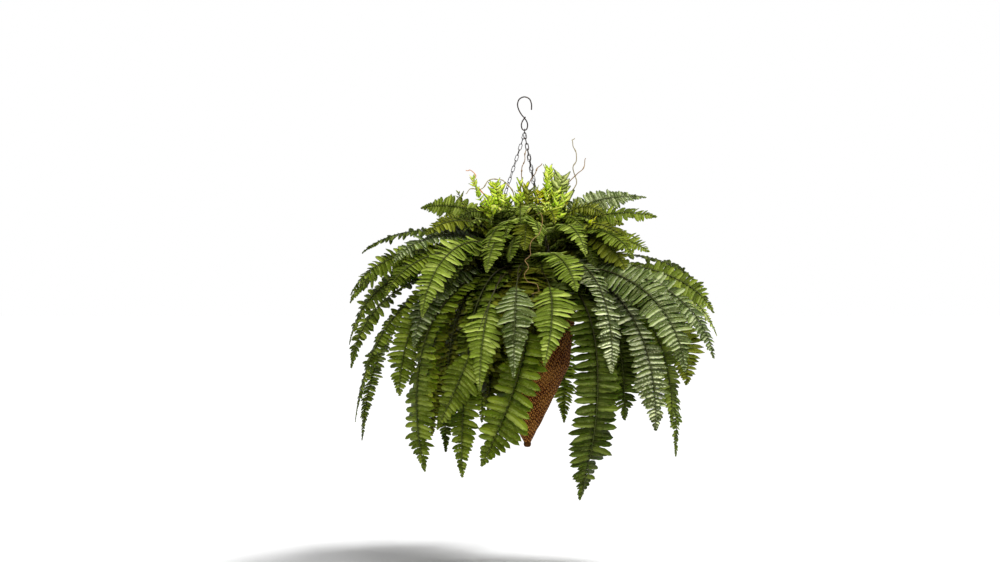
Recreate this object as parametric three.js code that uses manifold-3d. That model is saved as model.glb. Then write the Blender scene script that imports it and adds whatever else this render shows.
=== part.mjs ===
// A Boston fern in a pointed woven basket that hangs on three chains from one wire hook.
// Millimetres, +Z up. The origin is the seat of the hook, where it rests on whatever holds it up.
import * as THREE from "three";
import { mergeVertices } from "three/addons/utils/BufferGeometryUtils.js";
import Module from "manifold-3d";

const wasm = await Module();
wasm.setup();

// Hook, gather ring and chains
const HOOK_WIRE = 3.5;
const BEND_RADIUS = 19;
const EYE_BOTTOM = -92;
const EYE_HALF_WIDTH = 8.5;
const RUNNING_GAP = 0.3;
const EYE_GAP = 0.7;
const RING_RADIUS = 6.5;
const RING_WIRE = 2.2;
const LINK_SECTION = 1.3;
const LINK_INNER = LINK_SECTION / 2;
const LINK_REACH = 17;
const LINK_HALF_WIDTH = 4;
const LINKS_PER_CHAIN = 25;
const RIM_RING_RADIUS = 13;
const RIM_RING_WIRE = 2.4;
const CHAIN_AZIMUTHS = { left: 180, front: -60, back: 60 };
const CHAIN_SEATS = { left: 0, front: -3.2, back: 3.2 };

// Basket and soil
const PLANT_X = 8;
const RIM_TOP = -489;
const RIM_RADIUS = 140;
const WALL = 6;
const HOLE_DROP = 12;
const CHAIN_HOLE = 2.6;
const TAPER_TOP = -737;
const TAPER_RADIUS = 113;
const TIP_BOTTOM = -962;
const TIP_RADIUS = 8;
const SOIL_TOP = -505;
const INNER_TIP = TIP_BOTTOM + 26;
const SOIL_TIP = TIP_BOTTOM + 27;
const SIDES = 20;

// Stems and blades
const ROOT_DEPTH = 20;
const STEM_HALF_WIDTH = 2.3;
const STEM_HALF_THICKNESS = 1.2;
const TIP_HALF_THICKNESS = 0.4;
const HOLE_CLEARANCE = 0.35;
const OUTER_ROOT = 94;
const INNER_ROOT = 14;
const YOUNG_ROOT = 42;
const HIGHEST_LIFT = 330;
const TWIG = 3;
const TWIG_HOLE = 2.6;

const COLOURS = {
  bronze: { color: 0x2b2622, roughness: 0.45, metalness: 0.8 },
  rope: { color: 0x7a4a2c, roughness: 0.85, metalness: 0 },
  moss: { color: 0x3a3020, roughness: 0.95, metalness: 0 },
  frond: { color: 0x3f6b2a, roughness: 0.5, metalness: 0 },
  young: { color: 0x9cc23c, roughness: 0.5, metalness: 0 },
  twig: { color: 0x7d6238, roughness: 0.8, metalness: 0 },
};

const radians = THREE.MathUtils.degToRad;
const lerp = THREE.MathUtils.lerp;
const UP = new THREE.Vector3(0, 0, 1);
const LENGTHWISE = new THREE.Vector3(0, 1, 0);

// A point at a distance from the basket's upright axis, in the direction of an azimuth.
function polar(azimuth, radius, z) {
  const angle = radians(azimuth);
  return new THREE.Vector3(PLANT_X + radius * Math.cos(angle), radius * Math.sin(angle), z);
}

// The level direction away from the basket's axis.
function outwardFrom(azimuth) {
  return polar(azimuth, 1, 0).sub(polar(azimuth, 0, 0));
}

function plain(geometry) {
  const bare = geometry.index ? geometry.toNonIndexed() : geometry.clone();
  bare.deleteAttribute("normal");
  bare.deleteAttribute("uv");
  return mergeVertices(bare, 1e-3);
}

function toSolid(geometry) {
  const merged = plain(geometry);
  return new wasm.Manifold(
    new wasm.Mesh({
      numProp: 3,
      vertProperties: new Float32Array(merged.attributes.position.array),
      triVerts: new Uint32Array(merged.index.array),
    }),
  );
}

function toGeometry(solid) {
  const mesh = solid.getMesh();
  const geometry = new THREE.BufferGeometry();
  geometry.setAttribute("position", new THREE.BufferAttribute(mesh.vertProperties, 3));
  geometry.setIndex(new THREE.BufferAttribute(mesh.triVerts, 1));
  geometry.computeVertexNormals();
  return geometry;
}

function joined(geometries) {
  return toGeometry(geometries.map(toSolid).reduce((sum, next) => sum.add(next)));
}

function named(name, geometry, look) {
  const mesh = new THREE.Mesh(geometry, new THREE.MeshStandardMaterial(COLOURS[look]));
  mesh.name = name;
  return mesh;
}

// A round wire or twig: a regular section swept along a curve.
function wire(curve, diameter, sides, steps) {
  const section = new THREE.Shape();
  for (let i = 0; i < sides; i++) {
    const angle = (2 * Math.PI * i) / sides;
    const x = (diameter / 2) * Math.cos(angle);
    const y = (diameter / 2) * Math.sin(angle);
    if (i === 0) section.moveTo(x, y);
    else section.lineTo(x, y);
  }
  section.closePath();
  return new THREE.ExtrudeGeometry(section, {
    steps,
    curveSegments: 1,
    bevelEnabled: false,
    extrudePath: curve,
  });
}

function smoothPath(points) {
  return new THREE.CatmullRomCurve3(points.map(([x, y, z]) => new THREE.Vector3(x, y, z)));
}

// The hook: an open bend, then a crossing and a closed eye below it.
function hookGeometry() {
  const top = HOOK_WIRE / 2;
  const middle = top - BEND_RADIUS;
  const slant = BEND_RADIUS * Math.SQRT1_2;
  const bottom = EYE_BOTTOM + HOOK_WIRE / 2;
  const eye = EYE_HALF_WIDTH;
  return wire(
    smoothPath([
      [BEND_RADIUS, 0, middle - 17],
      [BEND_RADIUS + 0.5, 0, middle - 8],
      [BEND_RADIUS, 0, middle],
      [slant, 0, middle + slant],
      [0, 0, top],
      [-slant, 0, middle + slant],
      [-BEND_RADIUS, 0, middle],
      [-17, -0.5, middle - 13],
      [-9, -1.8, -46],
      [0, -2.2, -57],
      [6.5, -1.2, -67],
      [eye, 0, -77],
      [0.7 * eye, 0, bottom + 3.5],
      [0, 0, bottom],
      [-0.7 * eye, 0, bottom + 3.5],
      [-eye, 0, -77],
      [-6.5, 1.2, -67],
      [-1, 2.2, -58],
      [3, 2.2, -52.5],
    ]),
    HOOK_WIRE,
    5,
    34,
  );
}

const EYE_WIRE_Z = EYE_BOTTOM + HOOK_WIRE / 2;
const RING_CENTRE_Z = EYE_WIRE_Z + HOOK_WIRE / 2 + EYE_GAP + RING_WIRE / 2 - RING_RADIUS;

// The small ring that gathers the three chains, edge on to the hook.
function gatherRingGeometry() {
  return new THREE.TorusGeometry(RING_RADIUS, RING_WIRE / 2, 5, 14)
    .rotateZ(Math.PI / 2)
    .rotateY(Math.PI / 2)
    .translate(0, 0, RING_CENTRE_Z);
}

// A long link of three-sided wire: a coarse torus with its two flat ends drawn apart.
function linkGeometry() {
  const straight = LINK_REACH - 2 * LINK_HALF_WIDTH * Math.sin(Math.PI / 3);
  const link = new THREE.TorusGeometry(LINK_HALF_WIDTH, LINK_SECTION, 3, 6);
  const position = link.attributes.position;
  for (let i = 0; i < position.count; i++) {
    const y = position.getY(i);
    if (Math.abs(y) < 1) continue;
    position.setXY(i, 1.4 * position.getX(i), y + (Math.sign(y) * straight) / 2);
  }
  return link;
}

function placed(geometry, centre, along, normal) {
  const across = new THREE.Vector3().crossVectors(along, normal);
  const basis = new THREE.Matrix4().makeBasis(across, along, normal).setPosition(centre);
  return geometry.clone().applyMatrix4(basis);
}

// Where a chain starts on the gather ring, where it ends on the basket wall, and its direction.
function chainLine(side) {
  const seat = CHAIN_SEATS[side];
  const drop = Math.sqrt(RING_RADIUS ** 2 - seat ** 2);
  const start = new THREE.Vector3(0, seat, RING_CENTRE_Z - drop);
  const end = polar(CHAIN_AZIMUTHS[side], RIM_RADIUS - WALL / 2, RIM_TOP - HOLE_DROP);
  const down = new THREE.Vector3().subVectors(end, start).normalize();
  return { start, end, down };
}

function crosswise(vector, down) {
  return vector.clone().addScaledVector(down, -vector.dot(down)).normalize();
}

// Links that turn a quarter each, the last one around the ring in the basket's wall.
function chainGeometry(side) {
  const { start, end, down } = chainLine(side);
  const tangent = new THREE.Vector3().crossVectors(UP, outwardFrom(CHAIN_AZIMUTHS[side]));
  const rimNormal = crosswise(tangent, down);
  const firstNormal = crosswise(LENGTHWISE, down);
  const rimCentre = end.clone().addScaledVector(down, -RIM_RING_RADIUS);
  const rimTop = end.clone().addScaledVector(down, -2 * RIM_RING_RADIUS);
  const lastReach = RIM_RING_WIRE / 2 + LINK_INNER - 0.5;
  const firstTop = start.clone().addScaledVector(down, -RING_WIRE / 2 - LINK_INNER - RUNNING_GAP);
  const lastTop = rimTop.clone().addScaledVector(down, lastReach - LINK_REACH);
  const turns = LINKS_PER_CHAIN - 1;
  const lastNormal = new THREE.Vector3().crossVectors(rimNormal, down);
  let twist = Math.atan2(
    new THREE.Vector3().crossVectors(firstNormal, lastNormal).dot(down),
    firstNormal.dot(lastNormal),
  );
  const quarter = Math.PI / 2;
  twist -= quarter * 2 * Math.round((twist - turns * quarter) / (2 * quarter));
  const link = linkGeometry();
  const pieces = [];
  for (let i = 0; i <= turns; i++) {
    const top = firstTop.clone().lerp(lastTop, i / turns);
    const centre = top.addScaledVector(down, LINK_REACH / 2);
    const normal = firstNormal.clone().applyAxisAngle(down, (twist * i) / turns);
    pieces.push(placed(link, centre, down, normal));
  }
  const rimRing = new THREE.TorusGeometry(RIM_RING_RADIUS, RIM_RING_WIRE / 2, 4, 10);
  pieces.push(placed(rimRing, rimCentre, down, rimNormal));
  return joined(pieces);
}

function lathe(profile) {
  return new THREE.LatheGeometry(
    profile.map(([radius, z]) => new THREE.Vector2(radius, z)),
    SIDES,
  )
    .rotateX(Math.PI / 2)
    .translate(PLANT_X, 0, 0);
}

const WALL_CURVE = [
  [TAPER_RADIUS, TAPER_TOP],
  [TAPER_RADIUS + 12, TAPER_TOP + 82],
  [TAPER_RADIUS + 20.5, TAPER_TOP + 160],
  [RIM_RADIUS - 1.5, RIM_TOP - 30],
];

// The basket: a pointed shell with a bulging wall, and a hole for each chain's ring.
function basketGeometry() {
  const outer = [
    [0, TIP_BOTTOM],
    [TIP_RADIUS - 2, TIP_BOTTOM],
    [TIP_RADIUS, TIP_BOTTOM + 4],
    [TIP_RADIUS, TIP_BOTTOM + 12],
    ...WALL_CURVE,
    [RIM_RADIUS, RIM_TOP - 3],
    [RIM_RADIUS - 2, RIM_TOP],
  ];
  const inner = WALL_CURVE.map(([radius, z]) => [radius - WALL, z]).reverse();
  const profile = [
    ...outer,
    [RIM_RADIUS - WALL, RIM_TOP],
    ...inner,
    [0, INNER_TIP],
  ];
  let shell = toSolid(lathe(profile));
  for (const side of Object.keys(CHAIN_AZIMUTHS)) {
    const { end, down } = chainLine(side);
    const outward = crosswise(outwardFrom(CHAIN_AZIMUTHS[side]), down);
    const turn = new THREE.Quaternion().setFromUnitVectors(LENGTHWISE, outward);
    const bore = new THREE.CylinderGeometry(CHAIN_HOLE, CHAIN_HOLE, 5 * WALL, 8);
    bore.applyQuaternion(turn);
    shell = shell.subtract(toSolid(bore.translate(end.x, end.y, end.z)));
  }
  return toGeometry(shell);
}

// The higher a frond rises, the nearer the middle it stands.
function rootRadius(lift) {
  return lerp(OUTER_ROOT, INNER_ROOT, Math.min(lift / HIGHEST_LIFT, 1));
}

// How wide a blade is along its length, as a share of its greatest width.
function bladeShape(share) {
  return Math.min(1, 0.6 + 1.4 * share) * Math.max(0, 1 - share ** 3.3) ** 0.85 + 0.02;
}

// The arched midrib of a blade, from the soil to its tip.
function midrib(root, blade) {
  const tip = polar(blade.azimuth, blade.reach, blade.tip);
  const flat = new THREE.Vector3(tip.x - root.x, tip.y - root.y, 0);
  const span = flat.length();
  const out = flat.normalize();
  const side = new THREE.Vector3().crossVectors(UP, out);
  const shoulder = root.z + blade.lift;
  const steep = THREE.MathUtils.clamp((shoulder - blade.tip) / 500, 0, 1);
  const first = root.clone().addScaledVector(out, span * lerp(0.1, 0.3, steep));
  first.z = shoulder;
  const second = root.clone().addScaledVector(out, span * lerp(0.72, 1.08, steep));
  second.z = lerp(shoulder, blade.tip, lerp(0.12, 0.22, steep));
  second.addScaledVector(out, blade.belly).addScaledVector(side, blade.bend);
  return { curve: new THREE.CubicBezierCurve3(root, first, second, tip), side };
}

// One thin arched blade with its outline cut to the midrib, on a stem that stands in the soil.
function bladeGeometry(root, blade) {
  const { curve, side } = midrib(root, blade);
  const length = curve.getLength();
  const points = [];
  const faces = [];
  const add = (point) => points.push(point) - 1;

  // A row of four corners: top left, top right, bottom left and bottom right.
  const row = (centre, across, up, halfWidth, halfThickness) =>
    [
      [1, 1],
      [-1, 1],
      [1, -1],
      [-1, -1],
    ].map(([s, t]) =>
      add(
        centre
          .clone()
          .addScaledVector(across, s * halfWidth)
          .addScaledVector(up, t * halfThickness),
      ),
    );
  const frameAt = (share) => {
    const centre = curve.getPointAt(share);
    const along = curve.getTangentAt(share);
    const rolled = radians(blade.roll) * Math.min(1, 2 * share);
    const across = crosswise(side, along).applyAxisAngle(along, rolled);
    const up = new THREE.Vector3().crossVectors(along, across);
    return { centre, along, across, up };
  };
  const quad = (a, b, c, d) => faces.push([a, c, b], [a, d, c]);

  const inward = new THREE.Vector3().crossVectors(UP, side);
  const buried = root.clone().addScaledVector(UP, -ROOT_DEPTH - 6);
  let last = row(buried, side, inward, STEM_HALF_WIDTH, STEM_HALF_THICKNESS);
  quad(last[0], last[1], last[3], last[2]);
  const stem = (next) => {
    quad(last[0], next[0], next[1], last[1]);
    quad(last[2], last[3], next[3], next[2]);
    quad(last[0], last[2], next[2], next[0]);
    quad(last[1], next[1], next[3], last[3]);
    last = next;
  };
  stem(row(root, side, inward, STEM_HALF_WIDTH, STEM_HALF_THICKNESS));
  for (const share of [0.5 * blade.bare, blade.bare]) {
    const { centre, across, up } = frameAt(share);
    stem(row(centre, across, up, STEM_HALF_WIDTH, STEM_HALF_THICKNESS));
  }

  const easing = (k) => {
    const share = k / blade.pairs;
    return share * (1.28 - 0.28 * share);
  };
  for (let k = 1; k <= blade.pairs; k++) {
    const from = lerp(blade.bare, 1, easing(k - 1));
    const to = lerp(blade.bare, 1, easing(k));
    const { centre, across, up } = frameAt(Math.min(to, 0.9995));
    const thin = easing(k);
    const halfWidth = lerp(STEM_HALF_WIDTH, 0.7, thin);
    const halfThickness = lerp(STEM_HALF_THICKNESS, TIP_HALF_THICKNESS, thin);
    const next = row(centre, across, up, halfWidth, halfThickness);
    quad(last[0], next[0], next[1], last[1]);
    quad(last[2], last[3], next[3], next[2]);

    const leaf = frameAt((from + to) / 2);
    const axisDistance = Math.hypot(leaf.centre.x - PLANT_X, leaf.centre.y);
    const shape = bladeShape((easing(k - 1) + thin) / 2);
    const reach = Math.min((blade.width / 2) * shape, 0.21 * axisDistance + 8);
    const sweep = Math.min(0.28 * reach, (1 - (from + to) / 2) * length * 0.9);
    for (const s of [1, -1]) {
      const point = leaf.centre
        .clone()
        .addScaledVector(leaf.across, s * (reach + STEM_HALF_WIDTH))
        .addScaledVector(leaf.along, sweep)
        .addScaledVector(leaf.up, -0.16 * reach);
      const top = add(point.clone().addScaledVector(leaf.up, TIP_HALF_THICKNESS));
      const under = add(point.clone().addScaledVector(leaf.up, -TIP_HALF_THICKNESS));
      const edge = s > 0 ? 0 : 1;
      const [a, b] = [last[edge], next[edge]];
      const [c, d] = [last[edge + 2], next[edge + 2]];
      const leaflet = [
        [a, top, b],
        [c, d, under],
        [a, c, under],
        [a, under, top],
        [top, under, d],
        [top, d, b],
      ];
      for (const face of leaflet) faces.push(s < 0 ? face : face.slice().reverse());
    }
    last = next;
  }
  quad(last[0], last[2], last[3], last[1]);

  const geometry = new THREE.BufferGeometry();
  geometry.setAttribute(
    "position",
    new THREE.Float32BufferAttribute(points.flatMap((point) => point.toArray()), 3),
  );
  geometry.setIndex(faces.flat());
  return geometry;
}

// Each frond: name, azimuth of the root, then one row for each blade on that root:
// azimuth, lift above the soil, reach from the axis, tip height, width, pairs of leaflets,
// then roll towards the tip, a belly that carries the arch further out, and a sideways bend.
const FRONDS = [
  ["frond_front_1", -50, [-58, 78, 251, -1075, 126, 12, 0, 240], [-44, 64, 280, -820, 84, 4]],
  ["frond_front_2", -84, [-85, 62, 395, -713, 84, 7, 0, 0, 60], [-74, 58, 245, -662, 88, 4]],
  ["frond_front_3", -98, [-96, 94, 400, -743, 86, 8]],
  ["frond_front_4", -107, [-109, 62, 390, -780, 88, 8]],
  ["frond_front_5", -90,
    [-112, 60, 330, -975, 118, 9, 0, 0, 180], [-104, 66, 250, -800, 88, 4],
    [-92, 60, 245, -715, 84, 4],
  ],
  ["frond_front_6", -118,
    [-114, 165, 270, -482, 55, 5], [-123, 175, 196, -405, 53, 5], [-119, 190, 236, -450, 74, 4],
    [-110, 190, 171, -383, 65, 4],
  ],
  ["frond_front_7", -42, [-50, 195, 236, -442, 58, 5]],
  ["frond_front_8", -86,
    [-70, 105, 344, -530, 63, 6, 15], [-93, 185, 205, -424, 67, 4], [-82, 195, 216, -411, 65, 4],
  ],
  ["frond_left_front_1", -123, [-121, 62, 335, -1006, 69, 7], [-124, 66, 266, -830, 88, 4]],
  ["frond_left_front_2", -116, [-128, 62, 383, -882, 70, 6, 0, 0, 60]],
  ["frond_left_front_3", -138, [-138, 62, 364, -997, 86, 9, 0, 100], [-138, 60, 290, -800, 84, 4]],
  ["frond_left_front_4", -150, [-152, 66, 316, -978, 63, 6], [-150, 66, 392, -805, 67, 6]],
  ["frond_left_front_5", -146, [-142, 78, 379, -676, 77, 6, -20]],
  ["frond_left_front_6", -132, [-134, 165, 396, -598, 81, 6, -20], [-133, 150, 299, -515, 76, 4]],
  ["frond_left_front_7", -158,
    [-151, 120, 430, -546, 74, 6, -30], [-158, 160, 385, -455, 74, 6, -30],
    [-156, 190, 300, -382, 77, 4, -25],
  ],
  ["frond_left_1", -168, [-170, 130, 486, -543, 81, 7, -45]],
  ["frond_left_2", -173, [-179, 96, 490, -680, 74, 7, -45]],
  ["frond_left_3", -164, [-165, 66, 489, -737, 81, 7, -40]],
  ["frond_left_4", -158, [-161, 58, 485, -877, 67, 6, -40, -50]],
  ["frond_left_5", 164, [174, 175, 462, -427, 74, 6, -50], [165, 165, 300, -390, 70, 4, -40]],
  ["frond_left_6", 160, [166, 118, 517, -567, 76, 7, -45]],
  ["frond_left_7", 155, [155, 64, 526, -970, 67, 7, 40, -60], [160, 62, 350, -800, 84, 4]],
  ["frond_left_8", 150, [150, 220, 349, -295, 74, 6, -60], [140, 190, 290, -350, 74, 4, -30]],
  ["frond_left_9", 140, [140, 58, 357, -953, 70, 6], [125, 66, 413, -1016, 65, 6]],
  ["frond_right_front_1", -43, [-54, 112, 356, -741, 72, 6, 0, 40]],
  ["frond_right_front_2", -37, [-38, 72, 501, -736, 88, 9, 15]],
  ["frond_right_front_3", -29,
    [-34, 160, 310, -479, 67, 5, 30], [-25, 140, 353, -428, 67, 5, 30],
    [-27, 190, 300, -412, 74, 4, 30], [-37, 175, 340, -440, 67, 4, 20],
  ],
  ["frond_right_front_4", -28,
    [-35, 56, 401, -894, 67, 6, 20], [-22, 56, 410, -889, 67, 6, 30], [-26, 60, 290, -800, 84, 4],
  ],
  ["frond_right_front_5", -20, [-20, 66, 519, -710, 84, 7, 30]],
  ["frond_right_1", -12, [-11, 198, 356, -332, 74, 6, 40]],
  ["frond_right_2", -4,
    [-6, 76, 509, -592, 79, 6, 45], [4, 60, 529, -658, 76, 6, 45], [2, 60, 330, -800, 84, 4],
  ],
  ["frond_right_3", 11, [10, 104, 486, -511, 81, 6, 50]],
  ["frond_right_4", 26, [23, 240, 372, -266, 74, 6, 60], [19, 190, 290, -345, 70, 4, 40]],
  ["frond_right_5", 27, [24, 72, 473, -1013, 70, 7, -40], [25, 62, 340, -780, 84, 4]],
  ["frond_right_6", 40, [40, 175, 424, -379, 77, 6, 50], [58, 185, 250, -345, 74, 4, 30]],
  ["frond_right_7", 46, [48, 60, 381, -900, 74, 6], [48, 62, 340, -700, 84, 4]],
  ["frond_back_1", 86,
    [80, 195, 400, -340, 76, 5], [98, 155, 440, -470, 76, 5], [75, 215, 230, -330, 74, 4],
    [105, 215, 230, -330, 74, 4],
  ],
  ["frond_back_2", 122, [116, 195, 400, -340, 76, 5], [134, 155, 440, -470, 76, 5]],
  ["frond_back_3", 84, [64, 76, 470, -680, 76, 5], [82, 76, 470, -700, 76, 5]],
  ["frond_back_4", 104, [98, 76, 470, -680, 76, 5], [116, 76, 460, -720, 76, 5]],
  ["frond_back_5", 94,
    [72, 58, 380, -930, 70, 5], [92, 58, 380, -960, 70, 5], [110, 58, 380, -930, 70, 5],
  ],
];

const YOUNG_FRONDS = [
  ["young_frond_1", -165,
    [-163, 130, 155, -222, 40, 5, -60], [-150, 120, 100, -239, 44, 5, -40],
    [-175, 100, 190, -262, 40, 4, -60],
  ],
  ["young_frond_2", -105,
    [-125, 110, 35, -235, 38, 5], [-95, 130, 50, -246, 46, 5], [-88, 120, 92, -262, 44, 4],
  ],
  ["young_frond_3", -50, [-42, 120, 73, -222, 40, 5, 30], [-30, 110, 60, -275, 36, 5, 40]],
  ["young_frond_4", 0,
    [-4, 150, 60, -195, 44, 5, 60], [-2, 130, 95, -217, 40, 5, 60], [9, 132, 140, -284, 34, 5, 40],
  ],
];

// Curly twigs: the root in the soil, then the points of the stem up to its tip.
const TWIGS = [
  ["twig_1", [
    [-36, 36], [-44, 44, -330], [-66, 46, -290], [-89, 46, -280], [-123, 46, -252],
    [-143, 46, -228], [-134, 46, -214], [-150, 46, -197], [-162, 46, -197],
  ]],
  ["twig_2", [
    [-22, -24], [-26, -26, -330], [-32, -26, -262], [-56, -26, -233],
    [-72, -26, -227], [-98, -26, -230], [-120, -26, -255], [-143, -26, -252], [-162, -26, -266],
  ]],
  ["twig_3", [
    [-6, 14], [-10, 20, -330], [-13, 24, -267], [-6, 24, -228], [-8, 24, -198],
    [0, 24, -172], [4, 24, -140],
  ]],
  ["twig_4", [
    [8, -10], [4, -12, -320], [7, -14, -250], [23, -14, -219], [37, -14, -195], [50, -14, -181],
  ]],
  ["twig_5", [
    [60, 74], [90, 74, -340], [126, 74, -280], [134, 74, -254], [147, 74, -233],
    [138, 74, -186], [148, 74, -162], [140, 74, -131], [135, 74, -112], [141, 74, -104],
  ]],
  ["twig_6", [
    [26, 14], [36, 20, -360], [66, 26, -318], [108, 26, -281], [107, 26, -254], [140, 26, -214],
    [161, 26, -195], [171, 26, -164],
  ]],
];

function bladeOf([azimuth, lift, reach, tip, width, pairs, roll = 0, belly = 0, bend = 0], bare) {
  return { azimuth, lift, reach, tip, width, pairs, roll, belly, bend, bare };
}

// A plain hole in the soil, as wide as its stem turned any way.
function stemHole(x, y, radius) {
  const depth = ROOT_DEPTH + 40;
  return new THREE.CylinderGeometry(radius, radius, depth, 4)
    .rotateX(Math.PI / 2)
    .translate(x, y, SOIL_TOP - ROOT_DEPTH - HOLE_CLEARANCE + depth / 2);
}

const group = new THREE.Group();
group.add(named("hanging_hook", plain(hookGeometry()), "bronze"));
group.add(named("gather_ring", plain(gatherRingGeometry()), "bronze"));
for (const side of Object.keys(CHAIN_AZIMUTHS)) {
  group.add(named("chain_" + side, chainGeometry(side), "bronze"));
}
group.add(named("basket", basketGeometry(), "rope"));

const soilProfile = [
  [0, SOIL_TIP],
  ...WALL_CURVE.slice(0, -1).map(([radius, z]) => [radius - WALL - RUNNING_GAP, z]),
  [RIM_RADIUS - WALL - 1.2 - RUNNING_GAP, SOIL_TOP],
  [0, SOIL_TOP],
];
let soil = toSolid(lathe(soilProfile));

const stemHoleRadius = Math.hypot(STEM_HALF_WIDTH, STEM_HALF_THICKNESS) / Math.cos(Math.PI / 4);

function addFrond([name, rootAzimuth, ...rows], look, bare) {
  const blades = rows.map((row) => bladeOf(row, bare));
  const lift = Math.max(...blades.map((blade) => blade.lift));
  const radius = look === "young" ? YOUNG_ROOT : rootRadius(lift);
  const root = polar(rootAzimuth, radius, SOIL_TOP + 6);
  const solids = blades.map((blade) => bladeGeometry(root, blade));
  group.add(named(name, joined(solids), look));
  soil = soil.subtract(toSolid(stemHole(root.x, root.y, stemHoleRadius + HOLE_CLEARANCE)));
}

for (const frond of FRONDS) addFrond(frond, "frond", 0.2);
for (const frond of YOUNG_FRONDS) addFrond(frond, "young", 0.45);

for (const [name, points] of TWIGS) {
  const [rootX, rootY] = points[0];
  const path = [
    [rootX, rootY, SOIL_TOP - ROOT_DEPTH],
    [rootX, rootY, SOIL_TOP + 8],
    ...points.slice(1),
  ];
  group.add(named(name, plain(wire(smoothPath(path), TWIG, 3, 2 * path.length)), "twig"));
  soil = soil.subtract(toSolid(stemHole(rootX, rootY, TWIG_HOLE)));
}
group.add(named("soil", toGeometry(soil), "moss"));

export default group;
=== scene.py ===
"""A Boston fern in a pointed woven basket, hung from a bronze hook by three chains."""

import logging
import math
from dataclasses import dataclass, field
from enum import Enum

import bpy
import numpy as np
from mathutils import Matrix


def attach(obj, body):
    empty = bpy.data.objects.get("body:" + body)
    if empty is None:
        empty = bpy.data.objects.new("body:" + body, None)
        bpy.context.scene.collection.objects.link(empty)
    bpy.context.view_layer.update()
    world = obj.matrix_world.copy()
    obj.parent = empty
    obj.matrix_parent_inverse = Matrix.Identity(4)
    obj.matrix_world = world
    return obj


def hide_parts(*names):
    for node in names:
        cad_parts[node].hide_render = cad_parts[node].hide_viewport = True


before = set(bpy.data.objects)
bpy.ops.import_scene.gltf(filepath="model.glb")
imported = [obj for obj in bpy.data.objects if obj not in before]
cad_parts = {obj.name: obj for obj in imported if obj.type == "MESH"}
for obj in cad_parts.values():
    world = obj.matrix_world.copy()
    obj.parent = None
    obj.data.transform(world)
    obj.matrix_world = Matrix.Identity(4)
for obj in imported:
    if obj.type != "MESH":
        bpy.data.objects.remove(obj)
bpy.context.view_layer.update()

MM = 0.001
PLANT_X = 8.0
SOIL_TOP = -505.0
RIM_TOP = -489.0
RIM_RADIUS = 140.0
WALL = 6.0
Y_AXIS = np.array([0.0, 1.0, 0.0])
UP = np.array([0.0, 0.0, 1.0])
LOG = logging.getLogger("fern")

Array = np.ndarray
Random = np.random.Generator
Material = bpy.types.Material
Socket = bpy.types.NodeSocket
Value = Socket | float | tuple
Display = tuple[float, float, float]


def unit(vectors: Array) -> Array:
    """Scale vectors, whose last axis holds x, y and z, to length one."""
    return vectors / np.maximum(np.linalg.norm(vectors, axis=-1, keepdims=True), 1e-9)


def polar(azimuth: float, radius: float, height: float) -> Array:
    """Find a point at an azimuth in degrees and a distance from the basket's upright axis, in millimetres."""
    angle = math.radians(azimuth)
    return np.array([PLANT_X + radius * math.cos(angle), radius * math.sin(angle), height])


def full_turn(steps: int) -> Array:
    """Share a full turn into equal steps: angles in radians from 0 on."""
    return 2 * math.pi * np.arange(steps) / steps


def line_length(path: Array) -> Array:
    """Give how far each point of a path lies along it: the running sum of the steps' lengths."""
    return np.concatenate([[0], np.cumsum(np.linalg.norm(np.diff(path, axis=0), axis=1))])


def linear(red: float, green: float, blue: float) -> tuple[float, float, float, float]:
    """Turn display values of 0 to 255 into a linear colour with full cover."""
    values = np.array([red, green, blue]) / 255.0
    return (*np.where(values <= 0.04045, values / 12.92, ((values + 0.055) / 1.055) ** 2.4).tolist(), 1.0)


def ripple(x: Array, y: Array, seed: int) -> Array:
    """Make a smooth uneven field: four sine waves that cross at seeded angles, each finer and weaker.

    Args:
        x: First coordinate of every point.
        y: Second coordinate of every point.
        seed: Which field this is.

    Returns:
        Values of about -1 to 1, in the shape of x.
    """
    rng = np.random.default_rng(seed)
    total = np.zeros(np.broadcast(x, y).shape)
    for octave in range(4):
        turn, shift, other = rng.uniform(0, 2 * math.pi, 3)
        scale = 1.9**octave
        wave = np.sin(scale * (x * math.cos(turn) + y * math.sin(turn)) + shift)
        cross = np.sin(scale * 1.3 * (y * math.cos(turn) - x * math.sin(turn)) + other)
        total += wave * cross / 1.5**octave
    return total / 1.8


class Slot(Enum):
    """The record's material slots."""

    BRONZE = "bronze_wire"
    ROPE = "woven_rope"
    MOSS = "moss"
    FROND = "frond_green"
    YOUNG = "young_green"
    TWIG = "twig_bark"


class Tone(Enum):
    """The shades that a frond's leaflets can have."""

    DARK = "dark"
    MID = "mid"
    BRIGHT = "bright"
    GREY = "grey"
    SILVER = "silver"
    OLIVE = "olive"
    YELLOW = "yellow"
    PALE = "pale"
    SHADED = "shaded"
    YOUNG = "young"
    LIME = "lime"


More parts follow.
